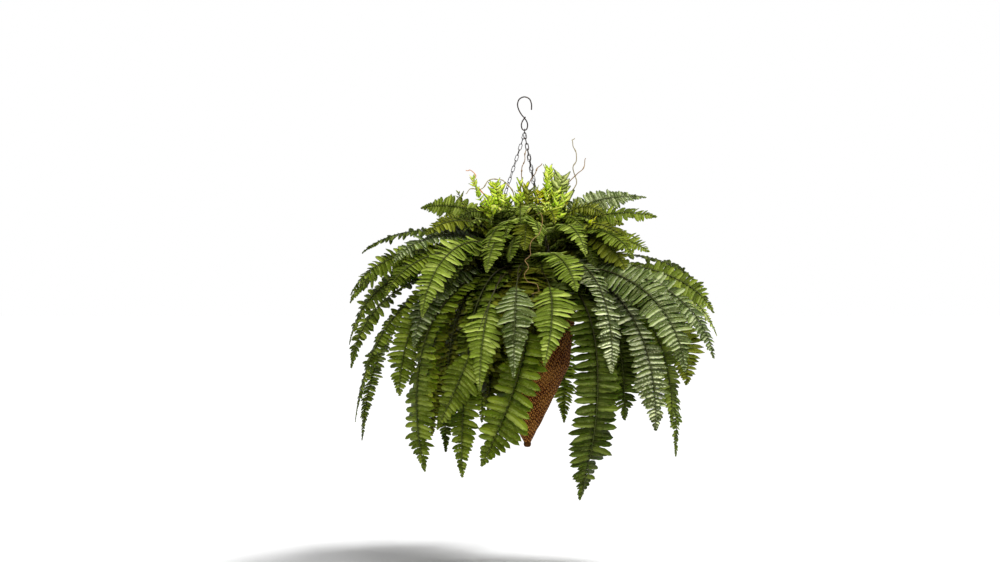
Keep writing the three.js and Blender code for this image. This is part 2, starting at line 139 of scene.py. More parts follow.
class Graph:
    """A material's node tree, built a node at a time."""

    def __init__(self, name: str) -> None:
        """Start a material with one Principled shader.

        Args:
            name: What the material is called.
        """
        self.material = bpy.data.materials.new(name)
        self.material.use_nodes = True
        self.tree = self.material.node_tree
        self.tree.nodes.clear()
        self.shader = self.node("BsdfPrincipled")
        self.node("OutputMaterial", self.shader.outputs[0])

    def feed(self, socket: Socket, value: Value) -> None:
        """Give an input a value.

        Args:
            socket: The input.
            value: Another node's result, or a plain number or colour.
        """
        if isinstance(value, Socket):
            self.tree.links.new(value, socket)
        else:
            socket.default_value = value

    def node(self, kind: str, *values: Value) -> bpy.types.Node:
        """Add a node of one kind and feed its first inputs.

        Args:
            kind: The node's type after "ShaderNode".
            values: What its first inputs get, in order.

        Returns:
            The new node.
        """
        node = self.tree.nodes.new("ShaderNode" + kind)
        for socket, value in zip(node.inputs, values):
            self.feed(socket, value)
        return node

    def split(self, point: Socket) -> list[Socket]:
        """Take a point apart into x, y and z."""
        return list(self.node("SeparateXYZ", point).outputs)

    def shade(self, name: str) -> list[Socket]:
        """Read a colour attribute of the mesh as separate red, green and blue."""
        reader = self.node("Attribute")
        reader.attribute_name = name
        return list(self.node("SeparateColor", reader.outputs["Color"]).outputs)

    def place(self, scale: tuple[float, float, float] = (1, 1, 1), source: str = "Object") -> Socket:
        """Give coordinates, from the object or its UV map, with a scale on each axis."""
        mapping = self.node("Mapping", self.node("TexCoord").outputs[source])
        mapping.inputs["Scale"].default_value = scale
        return mapping.outputs[0]

    def noise(
        self, scale: float, detail: float = 4.0, rough: float = 0.55, where: Socket | None = None
    ) -> Socket:
        """Add a noise pattern.

        Args:
            scale: How often it changes in a unit of length.
            detail: How many finer layers it has.
            rough: How strong the finer layers are.
            where: Its coordinates, or nothing for the object's own.

        Returns:
            The pattern's value, of about 0.3 to 0.7.
        """
        texture = self.node("TexNoise", where or self.place())
        for name, value in (("Scale", scale), ("Detail", detail), ("Roughness", rough)):
            texture.inputs[name].default_value = value
        return texture.outputs[0]

    def math(self, kind: str, *values: Value) -> Socket:
        """Work out one operation on results or plain numbers."""
        step = self.node("Math", *values)
        step.operation = kind
        return step.outputs[0]

    def scaled(self, value: Socket, factor: Value, shift: Value = 0.0) -> Socket:
        """Work out value * factor + shift."""
        return self.math("MULTIPLY_ADD", value, factor, shift)

    def wave(self, value: Socket, power: float, kind: str = "SINE") -> Socket:
        """Work out the size of the sine (or cosine) of pi * value, raised to a power."""
        return self.math("POWER", self.math("ABSOLUTE", self.math(kind, self.scaled(value, math.pi))), power)

    def span(self, value: Socket, low: float, high: float, start: float = 0.0, end: float = 1.0) -> Socket:
        """Carry a value from the span low to high to the span start to end, and hold it there."""
        return self.node("MapRange", value, low, high, start, end).outputs[0]

    def ramp(self, value: Socket, *stops: tuple[float, float, float, float]) -> Socket:
        """Colour a value.

        Args:
            value: What is coloured.
            stops: A position and the red, green and blue display values there, for each stop.

        Returns:
            The colour.
        """
        ramp = self.node("ValToRGB", value)
        band = ramp.color_ramp
        while len(band.elements) < len(stops):
            band.elements.new(0.5)
        for element, (position, *shade) in zip(band.elements, stops):
            element.position = position
            element.color = linear(*shade)
        return ramp.outputs[0]

    def lay(self, colour: Socket, *coats: tuple[Socket, Display]) -> Socket:
        """Lay display colours over a colour.

        Args:
            colour: The colour below.
            coats: The share of cover and the display colour of each coat, in order.

        Returns:
            The colour that shows.
        """
        for share, coat in coats:
            blend = self.node("Mix", share)
            blend.data_type = "RGBA"
            self.feed(blend.inputs[6], colour)
            self.feed(blend.inputs[7], linear(*coat))
            colour = blend.outputs[2]
        return colour

    def dress(
        self, looks: dict[str, Value], height: Socket, distance: float, strength: float = 1.0
    ) -> Material:
        """Finish the material.

        Args:
            looks: What the shader's inputs get, by name.
            height: The relief, of about 0 to 1.
            distance: How high the relief stands, in metres.
            strength: How much of the relief shows.

        Returns:
            The material.
        """
        for name, value in looks.items():
            self.feed(self.shader.inputs[name], value)
        relief = self.node("Bump")
        for name, value in (("Strength", strength), ("Distance", distance), ("Height", height)):
            self.feed(relief.inputs[name], value)
        self.feed(self.shader.inputs["Normal"], relief.outputs[0])
        return self.material


@dataclass(frozen=True)
class LeafFinish:
    """The skin of a frond's leaflets: three shades of one green, veins, a painted sheen on the upper side and
    painted shade at the leaflets' feet and near the frond's foot.
    """

    name: str
    deep: Display
    main: Display
    light: Display
    roughness: float = 0.42
    glow: float = 0.12
    shine: float = 0.1
    # foot sets the painted shade on leaflets near the frond's foot; sheen sets the share of the painted
    # sheen.
    foot: float = 0.35
    sheen: float = 0.1
    sheen_colour: Display = (202, 210, 136)

    def material(self) -> Material:
        """Build the leaf material from the mesh's shade attribute and its UV map.

        Returns:
            A material whose colour changes along each leaflet, from leaflet to leaflet and along the frond,
            where painted shade darkens the leaflets near its foot.
        """
        graph = Graph("leaf_" + self.name)
        drawn, along, _ = graph.shade("leaf_shade")
        out, across, _ = graph.split(graph.node("UVMap").outputs[0])
        cloud = graph.noise(28.0, 5.0)
        fine = graph.noise(420.0, 3.0)
        tone = graph.scaled(drawn, 0.5, graph.scaled(cloud, 0.6))
        # Painted shade: leaflets near the frond's foot, under the crown, are darker.
        tone = graph.math("ADD", tone, graph.span(along, 0.0, 0.3, -self.foot, 0.0))
        side = graph.math("ABSOLUTE", graph.scaled(across, 1.0, -0.5))
        rib = graph.span(side, 0.0, 0.06, 1.0, 0.0)
        vein = graph.wave(graph.scaled(side, -5.0, graph.scaled(out, 11.0)), 9.0, "COSINE")
        edge = graph.span(side, 0.34, 0.5)
        # Painted sheen: a pale highlight colour laid in noisy patches on the upper half of each leaflet.
        glint = graph.span(graph.scaled(drawn, 0.25, graph.noise(180.0, 4.0, 0.7)), 0.54, 0.72)
        gloss = graph.scaled(graph.span(across, 0.42, 0.62, 0.1, 1.0), glint)
        colour = graph.lay(
            graph.ramp(tone, (0.12, *self.deep), (0.55, *self.main), (0.95, *self.light)),
            (graph.scaled(edge, 0.3), self.light),
            (graph.scaled(rib, 0.45), self.deep),
            (graph.scaled(vein, 0.16), self.light),
            (graph.scaled(gloss, self.sheen), self.sheen_colour),
            # Painted shade: darker at each leaflet's foot by the midrib and along its lower half.
            (graph.span(out, 0.0, 0.3, 0.65, 0.0), self.deep),
            (graph.span(across, 0.02, 0.4, 0.6, 0.0), self.deep),
        )
        looks = {
            "Base Color": colour,
            "Roughness": graph.scaled(fine, 0.25, self.roughness - 0.1),
            "Specular IOR Level": self.shine,
            "Specular Tint": (1.0, 0.97, 0.45, 1.0),
            "Subsurface Weight": self.glow,
            "Subsurface Radius": (0.6, 1.0, 0.2),
            "Subsurface Scale": 0.003,
        }
        relief = graph.scaled(fine, 0.35, graph.scaled(vein, 0.5, graph.scaled(rib, -1.0)))
        return graph.dress(looks, relief, 0.0008, 0.7)


@dataclass(frozen=True)
class StalkFinish:
    """The skin of a frond's midrib: dark and slightly glossy, greener to the tip."""

    low: Display = (36, 30, 10)
    high: Display = (58, 66, 18)

    def material(self) -> Material:
        """Build the stalk material from the mesh's shade attribute."""
        graph = Graph("stalk")
        _, along, _ = graph.shade("leaf_shade")
        cloud = graph.noise(160.0)
        share = graph.scaled(cloud, 0.6, graph.scaled(along, 1.0, -0.3))
        looks = {
            "Base Color": graph.ramp(share, (0.35, *self.low), (0.75, *self.high)),
            "Roughness": graph.span(cloud, 0.3, 0.7, 0.45, 0.7),
            "Specular IOR Level": 0.2,
        }
        return graph.dress(looks, cloud, 0.0004)


@dataclass(frozen=True)
class BronzeFinish:
    """Oil-rubbed bronze wire: nearly black, with worn brown and gold on its high places."""

    dark: Display = (16, 13, 11)
    worn: Display = (38, 29, 21)
    gold: Display = (112, 80, 48)

    def material(self) -> Material:
        """Build the bronze material: wear and patches shift it from dark to gold."""
        graph = Graph("dark_bronze")
        wear = graph.noise(210.0, 6.0, 0.65)
        share = graph.scaled(graph.noise(60.0), 0.5, graph.scaled(wear, 0.6))
        looks = {
            "Base Color": graph.ramp(share, (0.38, *self.dark), (0.6, *self.worn), (0.8, *self.gold)),
            "Metallic": 0.6,
            "Roughness": graph.span(wear, 0.3, 0.7, 0.28, 0.55),
        }
        return graph.dress(looks, wear, 0.0003)


@dataclass(frozen=True)
class RopeFinish:
    """Twisted plant-fibre rope laid in rows: painted shade makes its grooves reddish brown to nearly black, a
    painted highlight makes it tan where the light catches it, and painted shade darkens its top.
    """

    gold: Display = (162, 112, 48)
    red: Display = (92, 42, 18)
    rim_shade: Display = (20, 15, 6)
    cap: Display = (84, 54, 28)

    def material(self) -> Material:
        """Build the rope material, whose UV map counts strands across and rows down.

        Returns:
            A material with a groove between strands, a groove between rows and fine fibres along each strand.
        """
        graph = Graph("woven_fibre")
        u, v, _ = graph.split(graph.node("UVMap").outputs[0])
        wobble = graph.noise(1.0, 3.0, where=graph.place((0.3, 0.3, 1.0), "UV"))
        across = graph.scaled(wobble, 0.8, u)
        number = graph.math("FLOOR", across)
        draw = graph.node("TexWhiteNoise")
        draw.noise_dimensions = "1D"
        graph.feed(draw.inputs["W"], number)
        down = graph.scaled(v, 0.68, graph.scaled(draw.outputs[0], 0.55))
        down = graph.scaled(number, 0.5, graph.scaled(wobble, 1.1, down))
        ridge = graph.scaled(graph.wave(across, 0.8), graph.scaled(graph.wave(down, 0.7), 0.8, 0.2))
        fibre = graph.noise(1.3, 4.0, 0.6, graph.place((5.0, 1.2, 1.0), "UV"))
        height = graph.scaled(fibre, 0.3, graph.scaled(ridge, 0.8))
        # Colour follows the relief: painted shade in the grooves, painted highlight on the ridges.
        share = graph.scaled(graph.noise(55.0), 0.3, graph.scaled(height, 1.0, -0.15))
        cloud = graph.noise(16.0)
        # Painted shade: the basket's top, under the crown, darkens to nearly black.
        _, _, z = graph.split(graph.place())
        rim_shade_level = graph.scaled(cloud, 0.1, z)
        cap, _, _ = graph.shade("cap_shade")
        colour = graph.lay(
            graph.ramp(share, (0.22, 20, 7, 2), (0.46, 44, 19, 5), (0.68, 88, 46, 15), (0.92, 180, 124, 58)),
            (graph.span(cloud, 0.45, 0.7, 0.0, 0.35), self.gold),
            (graph.span(cloud, 0.55, 0.3, 0.0, 0.35), self.red),
            (graph.span(rim_shade_level, -0.57, -0.51, 0.0, 0.9), self.rim_shade),
            (cap, self.cap),
        )
        looks = {
            "Base Color": colour,
            "Roughness": graph.span(fibre, 0.3, 0.7, 0.5, 0.8),
            "Specular IOR Level": 0.06,
            "Specular Tint": (1.0, 0.85, 0.6, 1.0),
        }
        return graph.dress(looks, height, 0.0024, 0.9)


@dataclass(frozen=True)
class MossFinish:
    """Damp moss and old roots: dark olive with brown hollows."""

    hollow: Display = (24, 17, 9)
    olive: Display = (48, 42, 16)
    green: Display = (82, 84, 30)
    straw: Display = (122, 112, 56)

    def material(self) -> Material:
        """Build the moss material from clumps and a fine grain."""
        graph = Graph("dark_moss")
        fine = graph.noise(500.0, 4.0, 0.7)
        share = graph.scaled(fine, 0.45, graph.scaled(graph.noise(70.0, 6.0, 0.7), 0.6))
        stops = zip((0.3, 0.5, 0.68, 0.85), (self.hollow, self.olive, self.green, self.straw))
        looks = {
            "Base Color": graph.ramp(share, *((position, *shade) for position, shade in stops)),
            "Roughness": graph.span(fine, 0.3, 0.7, 0.7, 0.95),
        }
        return graph.dress(looks, share, 0.003)


@dataclass(frozen=True)
class BarkFinish:
    """A twig's bark: streaked brown, orange and grey-olive."""

    name: str
    dark: Display
    main: Display
    light: Display

    def material(self) -> Material:
        """Build the bark material, streaked along the twig."""
        graph = Graph("bark_" + self.name)
        streak = graph.noise(1.0, 6.0, 0.65, graph.place((6.0, 26.0, 1.0), "UV"))
        share = graph.scaled(streak, 0.6, graph.scaled(graph.noise(45.0), 0.45))
        looks = {
            "Base Color": graph.ramp(share, (0.35, *self.dark), (0.55, *self.main), (0.75, *self.light)),
            "Roughness": graph.span(streak, 0.3, 0.7, 0.5, 0.8),
        }
        return graph.dress(looks, streak, 0.0006)


RING_SIDES = 8


class Surface:
    """A mesh gathered from whole arrays of points, faces, corner UVs and shades, in millimetres."""

    def __init__(self) -> None:
        """Start empty."""
        self.points: list[Array] = []
        self.faces: list[Array] = []
        self.corners: list[Array] = []
        self.shades: list[Array] = []
        self.slots: list[Array] = []
        self.first = 0
        self.count = 0

    def add(self, points: Array, faces: Array, uv: Array, shade: Array | None = None, slot: int = 0) -> None:
        """Add a patch.

        Args:
            points: Points of shape (n, 3).
            faces: Point indices of shape (m, k).
            uv: UVs of the faces' corners, of shape (m, k, 2).
            shade: Colours of shape (n, 3), or nothing for black.
            slot: Which of the piece's materials the patch has.
        """
        self.first = self.count
        self.points.append(points)
        self.shades.append(np.zeros((len(points), 3)) if shade is None else shade)
        self.count += len(points)
        self.cover(faces, uv, slot)

    def cover(self, faces: Array, uv: Array | None = None, slot: int = 0) -> None:
        """Put faces on the last patch's points.

        Args:
            faces: Point indices of shape (m, k), counted from the patch's first point.
            uv: UVs of shape (m, k, 2), or nothing for an end with no pattern.
            slot: Which of the piece's materials the faces have.
        """
        self.faces.append(faces + self.first)
        self.corners.append(np.zeros((faces.size, 2)) if uv is None else uv.reshape(-1, 2))
        self.slots.append(np.full(len(faces), slot))

    def tube(
        self,
        path: Array,
        radius: Array,
        guide: Array,
        sides: int,
        closed: bool = False,
        shade: Array | None = None,
    ) -> None:
        """Carry a circle along a path: each ring is centre + radius * (cos * first + sin * second).

        Args:
            path: Points of the middle line, of shape (n, 3).
            radius: A radius for each point.
            guide: A direction that the rings' first axis is square to the path and nearest to.
            sides: Points around.
            closed: Whether the path's end joins its start; an open tube gets flat ends.
            shade: A colour for each point of the path, or nothing for black.
        """
        steps = np.roll(path, -1, axis=0) - np.roll(path, 1, axis=0) if closed else np.gradient(path, axis=0)
        tangent = unit(steps)
        first = unit(guide - np.sum(guide * tangent, -1, keepdims=True) * tangent)
        second = np.cross(tangent, first)
        angle = full_turn(sides)[None, :, None]
        ring = np.cos(angle) * first[:, None] + np.sin(angle) * second[:, None]
        points = (path[:, None] + radius[:, None, None] * ring).reshape(-1, 3)
        faces, corner = grid_faces(len(path) + int(closed), sides, True)
        uv = corner / np.array([len(path), sides])
        shades = None if shade is None else np.repeat(shade, sides, axis=0)
        self.add(points, faces[:, ::-1] % len(points), uv[:, ::-1], shades)
        if not closed:
            start = np.arange(sides)
            self.cover(np.stack([start, len(points) - 1 - start]))

    def ring(
        self, centre: Array, across: Array, along: Array, radius: float, wire: float, steps: int
    ) -> None:
        """Carry a circle around a circle: centre + radius * (cos * across + sin * along).

        Args:
            centre: The ring's middle.
            across: A direction in its plane.
            along: The other direction in its plane.
            radius: From its middle to the wire's middle.
            wire: The wire's thickness.
            steps: Points around the ring.
        """
        angle = full_turn(steps)[:, None]
        path = centre + radius * (np.cos(angle) * across + np.sin(angle) * along)
        self.tube(path, np.full(steps, wire / 2), np.cross(across, along), RING_SIDES, closed=True)

    def build(self, name: str, materials: list[Material], shade_name: str = "leaf_shade") -> bpy.types.Object:
        """Put the gathered arrays into one object at the origin.

        Args:
            name: The piece's name.
            materials: The materials that the patches' slots count through.
            shade_name: What the colour attribute is called.

        Returns:
            The piece, smooth and in the scene.
        """
        mesh = bpy.data.meshes.new(name)
        points = np.concatenate(self.points) * MM
        totals = np.concatenate([np.full(len(faces), faces.shape[1]) for faces in self.faces])
        loops = np.concatenate([faces.ravel() for faces in self.faces])
        mesh.vertices.add(len(points))
        mesh.vertices.foreach_set("co", points.ravel())
        mesh.loops.add(len(loops))
        mesh.loops.foreach_set("vertex_index", loops.astype(np.int32))
        mesh.polygons.add(len(totals))
        mesh.polygons.foreach_set("loop_start", (np.cumsum(totals) - totals).astype(np.int32))
        mesh.polygons.foreach_set("material_index", np.concatenate(self.slots).astype(np.int32))
        mesh.update(calc_edges=True)
        mesh.uv_layers.new(name="UVMap").data.foreach_set("uv", np.concatenate(self.corners).ravel())
        colours = np.column_stack([np.concatenate(self.shades), np.ones(len(points))])
        mesh.attributes.new(shade_name, "FLOAT_COLOR", "POINT").data.foreach_set("color", colours.ravel())
        mesh.polygons.foreach_set("use_smooth", np.ones(len(totals), dtype=bool))
        for material in materials:
            mesh.materials.append(material)
        mesh.validate()
        mesh.update()
        return in_scene(name, mesh)


def in_scene(name: str, data: bpy.types.ID) -> bpy.types.Object:
    """Make an object of a mesh, light or camera and put it into the scene."""
    thing = bpy.data.objects.new(name, data)
    bpy.context.scene.collection.objects.link(thing)
    return thing


def grid_faces(rows: int, columns: int, wrap: bool) -> tuple[Array, Array]:
    """Join a grid of points by four-sided faces.

    Args:
        rows: Points down the grid.
        columns: Points across the grid.
        wrap: Whether the last column joins the first.

    Returns:
        Point indices (m, 4), and the row and column of each corner (m, 4, 2), not wrapped.
    """
    across = columns if wrap else columns - 1
    cells = np.meshgrid(np.arange(rows - 1), np.arange(across), indexing="ij")
    row, column = (cell.ravel() for cell in cells)
    square = ((0, 0), (0, 1), (1, 1), (1, 0))
    corner = np.stack([np.stack([row + down, column + right], -1) for down, right in square], axis=1)
    return corner[..., 0] * columns + corner[..., 1] % columns, corner


def smooth_path(points: list, steps: int) -> Array:
    """Draw a smooth curve through points: a cubic in each span, its end slopes from the neighbours' spacing.

    Args:
        points: Points to go through, in millimetres.
        steps: Points wanted along the curve.

    Returns:
        Points of shape (steps, 3).
    """
    knots = np.array(points, dtype=float)
    knots = np.vstack([2 * knots[0] - knots[1], knots, 2 * knots[-1] - knots[-2]])
    gap = np.maximum(np.linalg.norm(np.diff(knots, axis=0), axis=1) ** 0.5, 1e-6)
    spans = len(points) - 1
    where = np.linspace(0, spans, steps)
    span = np.minimum(where.astype(int), spans - 1)
    t = (where - span)[:, None]
    before, start, end, after = (knots[span + i] for i in range(4))
    d0, d1, d2 = (gap[span + i][:, None] for i in range(3))
    leave = ((start - before) / d0 - (end - before) / (d0 + d1) + (end - start) / d1) * d1
    reach = ((end - start) / d1 - (after - start) / (d1 + d2) + (after - end) / d2) * d1
    bend = -3 * start + 3 * end - 2 * leave - reach
    turn = 2 * start - 2 * end + leave + reach
    return start + leave * t + bend * t**2 + turn * t**3


def finished(piece: bpy.types.Object, slot: Slot, *nodes: str) -> None:
    """Let a piece ride on the body and stand for the solids it replaces.

    Args:
        piece: The finished piece.
        slot: Its material slot in the record; not used.
        nodes: The nodes of the solids.
    """
    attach(piece, "root")
    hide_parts(*nodes)
    LOG.info("%s: %d faces", piece.name, len(piece.data.polygons))


@dataclass
class HangingHook:
    """The open bend that hangs on a ceiling hook, with a closed eye below."""

    wire: float = 3.5
    bend_radius: float = 19.0
    eye: float = 8.5
    eye_bottom: float = -92.0
    rounded: float = 0.006
    steps: int = 220
    sides: int = 14

    def build(self, bronze: Material) -> None:
        """Build the hook as a round wire along its path, with rounded ends.

        Args:
            bronze: The wire's material.
        """
        top = self.wire / 2
        middle = top - self.bend_radius
        slant = self.bend_radius * math.sqrt(0.5)
        bottom = self.eye_bottom + top
        turn, eye = self.bend_radius, self.eye
        path = smooth_path(
            [
                [turn, 0, middle - 17], [turn + 0.5, 0, middle - 8], [turn, 0, middle],
                [slant, 0, middle + slant], [0, 0, top], [-slant, 0, middle + slant],
                [-turn, 0, middle], [-17, -0.5, middle - 13], [-9, -1.8, -46],
                [0, -2.2, -57], [6.5, -1.2, -67], [eye, 0, -77], [0.7 * eye, 0, bottom + 3.5],
                [0, 0, bottom], [-0.7 * eye, 0, bottom + 3.5], [-eye, 0, -77],
                [-6.5, 1.2, -67], [-1, 2.2, -58], [3, 2.2, -52.5],
            ],
            self.steps,
        )
        share = np.linspace(0, 1, len(path))
        inward = np.minimum(np.minimum(share, 1 - share) / self.rounded, 1)
        radius = self.wire / 2 * np.sqrt(np.maximum(1 - (1 - inward) ** 2, 0.02))
        surface = Surface()
        surface.tube(path, radius, Y_AXIS, self.sides)
        finished(surface.build("hook_wire", [bronze]), Slot.BRONZE, "hanging_hook")


@dataclass
class Chains:
    """Three chains of oval links from the gather ring to rings in the basket's rim.

    Each chain has an azimuth at the rim and a seat, which is how far along y it hangs in the gather ring.
    """

    ring_radius: float = 6.5
    ring_wire: float = 2.2
    ring_centre: float = -93.2
    links: int = 25
    link_reach: float = 17.0
    link_inner: float = 0.65
    link_wire: float = 1.9
    half_width: float = 4.0
    slack: float = 1.0
    top_gap: float = 0.3
    rim_play: float = 0.5
    rim_drop: float = 12.0
    rim_ring_radius: float = 13.0
    rim_ring_wire: float = 2.4
    link_steps: int = 20
    link_sides: int = 6
    ring_steps: int = 40
    rim_ring_steps: int = 44
    azimuths: dict[str, float] = field(default_factory=lambda: {"left": 180.0, "front": -60.0, "back": 60.0})
    seats: dict[str, float] = field(default_factory=lambda: {"left": 0.0, "front": -3.2, "back": 3.2})

    def link(self) -> Array:
        """Draw a link's middle line, as across and along: two half circles joined by straight sides."""
        angle = full_turn(self.link_steps) + math.pi / self.link_steps
        straight = (self.link_reach + self.slack) / 2 - self.half_width
        along = self.half_width * np.sin(angle) + straight * np.sign(np.sin(angle))
        return np.stack([self.half_width * np.cos(angle), along], -1)

    def build(self, bronze: Material) -> None:
        """Build the gather ring and the three chains.

        Args:
            bronze: The wire's material.
        """
        surface = Surface()
        centre = np.array([0.0, 0.0, self.ring_centre])
        surface.ring(centre, Y_AXIS, UP, self.ring_radius, self.ring_wire, self.ring_steps)
        finished(surface.build("gathering_ring", [bronze]), Slot.BRONZE, "gather_ring")
        for side in self.azimuths:
            self.chain(side, bronze)

    def chain(self, side: str, bronze: Material) -> None:
        """Build one chain, each link a quarter turn from the last and the end ones square to what they hold.

        Args:
            side: Which of the three chains.
            bronze: The wire's material.
        """
        seat = self.seats[side]
        start = np.array([0.0, seat, self.ring_centre - math.sqrt(self.ring_radius**2 - seat**2)])
        end = polar(self.azimuths[side], RIM_RADIUS - WALL / 2, RIM_TOP - self.rim_drop)
        down = unit(end - start)
        angle = math.radians(self.azimuths[side])
        tangent = np.array([-math.sin(angle), math.cos(angle), 0.0])
        rim_normal = unit(tangent - tangent @ down * down)
        first_normal = unit(Y_AXIS - down[1] * down)
        last_normal = np.cross(rim_normal, down)
        turns = self.links - 1
        twist = math.atan2(np.cross(first_normal, last_normal) @ down, first_normal @ last_normal)
        twist -= math.pi * round((twist - turns * math.pi / 2) / math.pi)
        first_top = start - down * (self.ring_wire / 2 + self.link_inner + self.top_gap)
        hold = self.rim_ring_wire / 2 + self.link_inner - self.rim_play - self.link_reach
        last_top = end + down * (hold - 2 * self.rim_ring_radius)
        outline = self.link()
        surface = Surface()
        for i in range(self.links):
            centre = first_top + (last_top - first_top) * i / turns + down * self.link_reach / 2
            turn = twist * i / turns
            normal = first_normal * math.cos(turn) + np.cross(down, first_normal) * math.sin(turn)
            path = centre + outline[:, :1] * np.cross(down, normal) + outline[:, 1:] * down
            surface.tube(path, np.full(len(path), self.link_wire / 2), normal, self.link_sides, closed=True)
        radius = self.rim_ring_radius
        across = np.cross(down, rim_normal)
        surface.ring(end - down * radius, across, down, radius, self.rim_ring_wire, self.rim_ring_steps)
        finished(surface.build("links_" + side, [bronze]), Slot.BRONZE, "chain_" + side)


@dataclass
class WovenBasket:
    """A pointed basket of rope rows, each row a ring of slanting strands, with a small cap at its tip.

    Its profiles are points of radius and height: the outside down to the cap, the cap, and the inside.
    """

    row_height: float = 6.2
    samples: int = 3
    columns: int = 180
    strand: float = 5.6
    lean: float = 0.45
    relief: float = 1.3
    unevenness: float = 1.6
    plait: float = 3.3
    sink: float = 1.2
    cap_strands: float = 108.0
    cap_rows: float = 0.25
    weld_gap: float = 0.00002
    outside: tuple = (
        (137.0, -489.5), (140.0, -495.0), (138.5, -519.0), (133.5, -577.0),
        (125.0, -655.0), (113.0, -737.0), (61.0, -843.0), (9.0, -949.0),
    )
    cap: tuple = ((9.8, -949.0), (10.4, -953.0), (9.8, -957.0), (7.8, -960.4), (4.0, -961.8), (0.3, -962.0))
    inside: tuple = (
        (134.5, -489.0), (132.0, -492.0), (131.0, -519.0), (126.0, -577.0), (106.0, -737.0), (0.3, -930.0),
    )

    def profile(self) -> Array:
        """Give the outside as evenly spaced points of radius and height, three to a row of rope."""
        key = np.array(self.outside)
        length = line_length(key)
        rows = int(length[-1] / self.row_height) * self.samples
        where = np.linspace(0, length[-1], rows + 1)
        return np.stack([np.interp(where, length, key[:, 0]), np.interp(where, length, key[:, 1])], -1)

    def build(self, rope: Material) -> None:
        """Build the wall, as profile + row bulge + unevenness + plait, then the cap, rim and inner wall.

        Args:
            rope: The woven material.
        """
        outside = self.profile()
        rows = len(outside) - 1
        turn = math.pi / 2 + full_turn(self.columns)
        level = np.arange(rows + 1)[:, None]
        fade = np.clip((outside[:, :1] - 6) / 30, 0.15, 1)
        bulge = self.relief * (np.abs(np.sin(math.pi * level / self.samples)) ** 0.7 - 0.6)
        x, y = (2.2 * part + 0.02 * level for part in (np.cos(turn), np.sin(turn)))
        uneven = self.unevenness * ripple(x, y, 5)
        knots = self.count(outside[:, :1], 4 * self.strand)
        weave = np.abs(np.sin(knots * turn / 2 + math.pi * self.lean * level / self.samples / 4))
        radius = outside[:, :1] + fade * (bulge + uneven + self.plait * weave**1.5 - self.sink)
        wall = self.around(radius, outside[:, 1:], turn)

        surface = Surface()
        faces, corner = grid_faces(rows + 1, self.columns, True)
        row = np.minimum(corner[:, :1, 0] // self.samples, rows // self.samples - 1)
        strands = self.count(outside[row * self.samples, 0], self.strand)
        down = corner[..., 0] / self.samples
        across = strands * (corner[..., 1] / self.columns - 0.5) + self.lean * down
        surface.add(wall.reshape(-1, 3), faces[:, ::-1], np.stack([across, down], -1)[:, ::-1])
        self.close(surface, wall[-1], self.cap, turn, 0.5, -1)
        self.close(surface, wall[0], self.inside, turn, 0.0, 1)
        piece = surface.build("rope_basket", [rope], "cap_shade")
        weld = piece.modifiers.new("weld", "WELD")
        weld.merge_threshold = self.weld_gap
        finished(piece, Slot.ROPE, "basket")

    @staticmethod
    def count(radius: Array, pitch: float) -> Array:
        """Give how many strands of a pitch fit around a radius, and no fewer than six."""
        return np.maximum(np.round(2 * math.pi * radius / pitch), 6)

    @staticmethod
    def around(radius: Array, height: Array, turn: Array) -> Array:
        """Turn radius and height about the upright axis: (radius cos, radius sin, height)."""
        x, y, z = np.broadcast_arrays(PLANT_X + radius * np.cos(turn), radius * np.sin(turn), height)
        return np.stack([x, y, z], -1)

    def close(
        self, surface: Surface, edge: Array, profile: tuple, turn: Array, shade: float, order: int
    ) -> None:
        """Carry on from an edge ring through a short profile to a closed end.

        Args:
            surface: Where the patch goes.
            edge: The ring of points that it starts from.
            profile: Radius and height of each further ring.
            turn: The rings' angles.
            shade: How much of the cap's colour it has.
            order: 1 for faces that turn inwards, -1 for outwards.
        """
        radius, height = np.array(profile).T[..., None]
        rings = np.concatenate([edge[None], self.around(radius, height, turn)])
        faces, corner = grid_faces(len(rings), len(turn), True)
        uv = corner[..., ::-1] * np.array([self.cap_strands / self.columns, self.cap_rows])
        points = rings.reshape(-1, 3)
        surface.add(points, faces[:, ::order], uv[:, ::order], shade=np.full(points.shape, shade))
        surface.cover((len(points) - len(turn) + np.arange(len(turn)))[None, ::order])


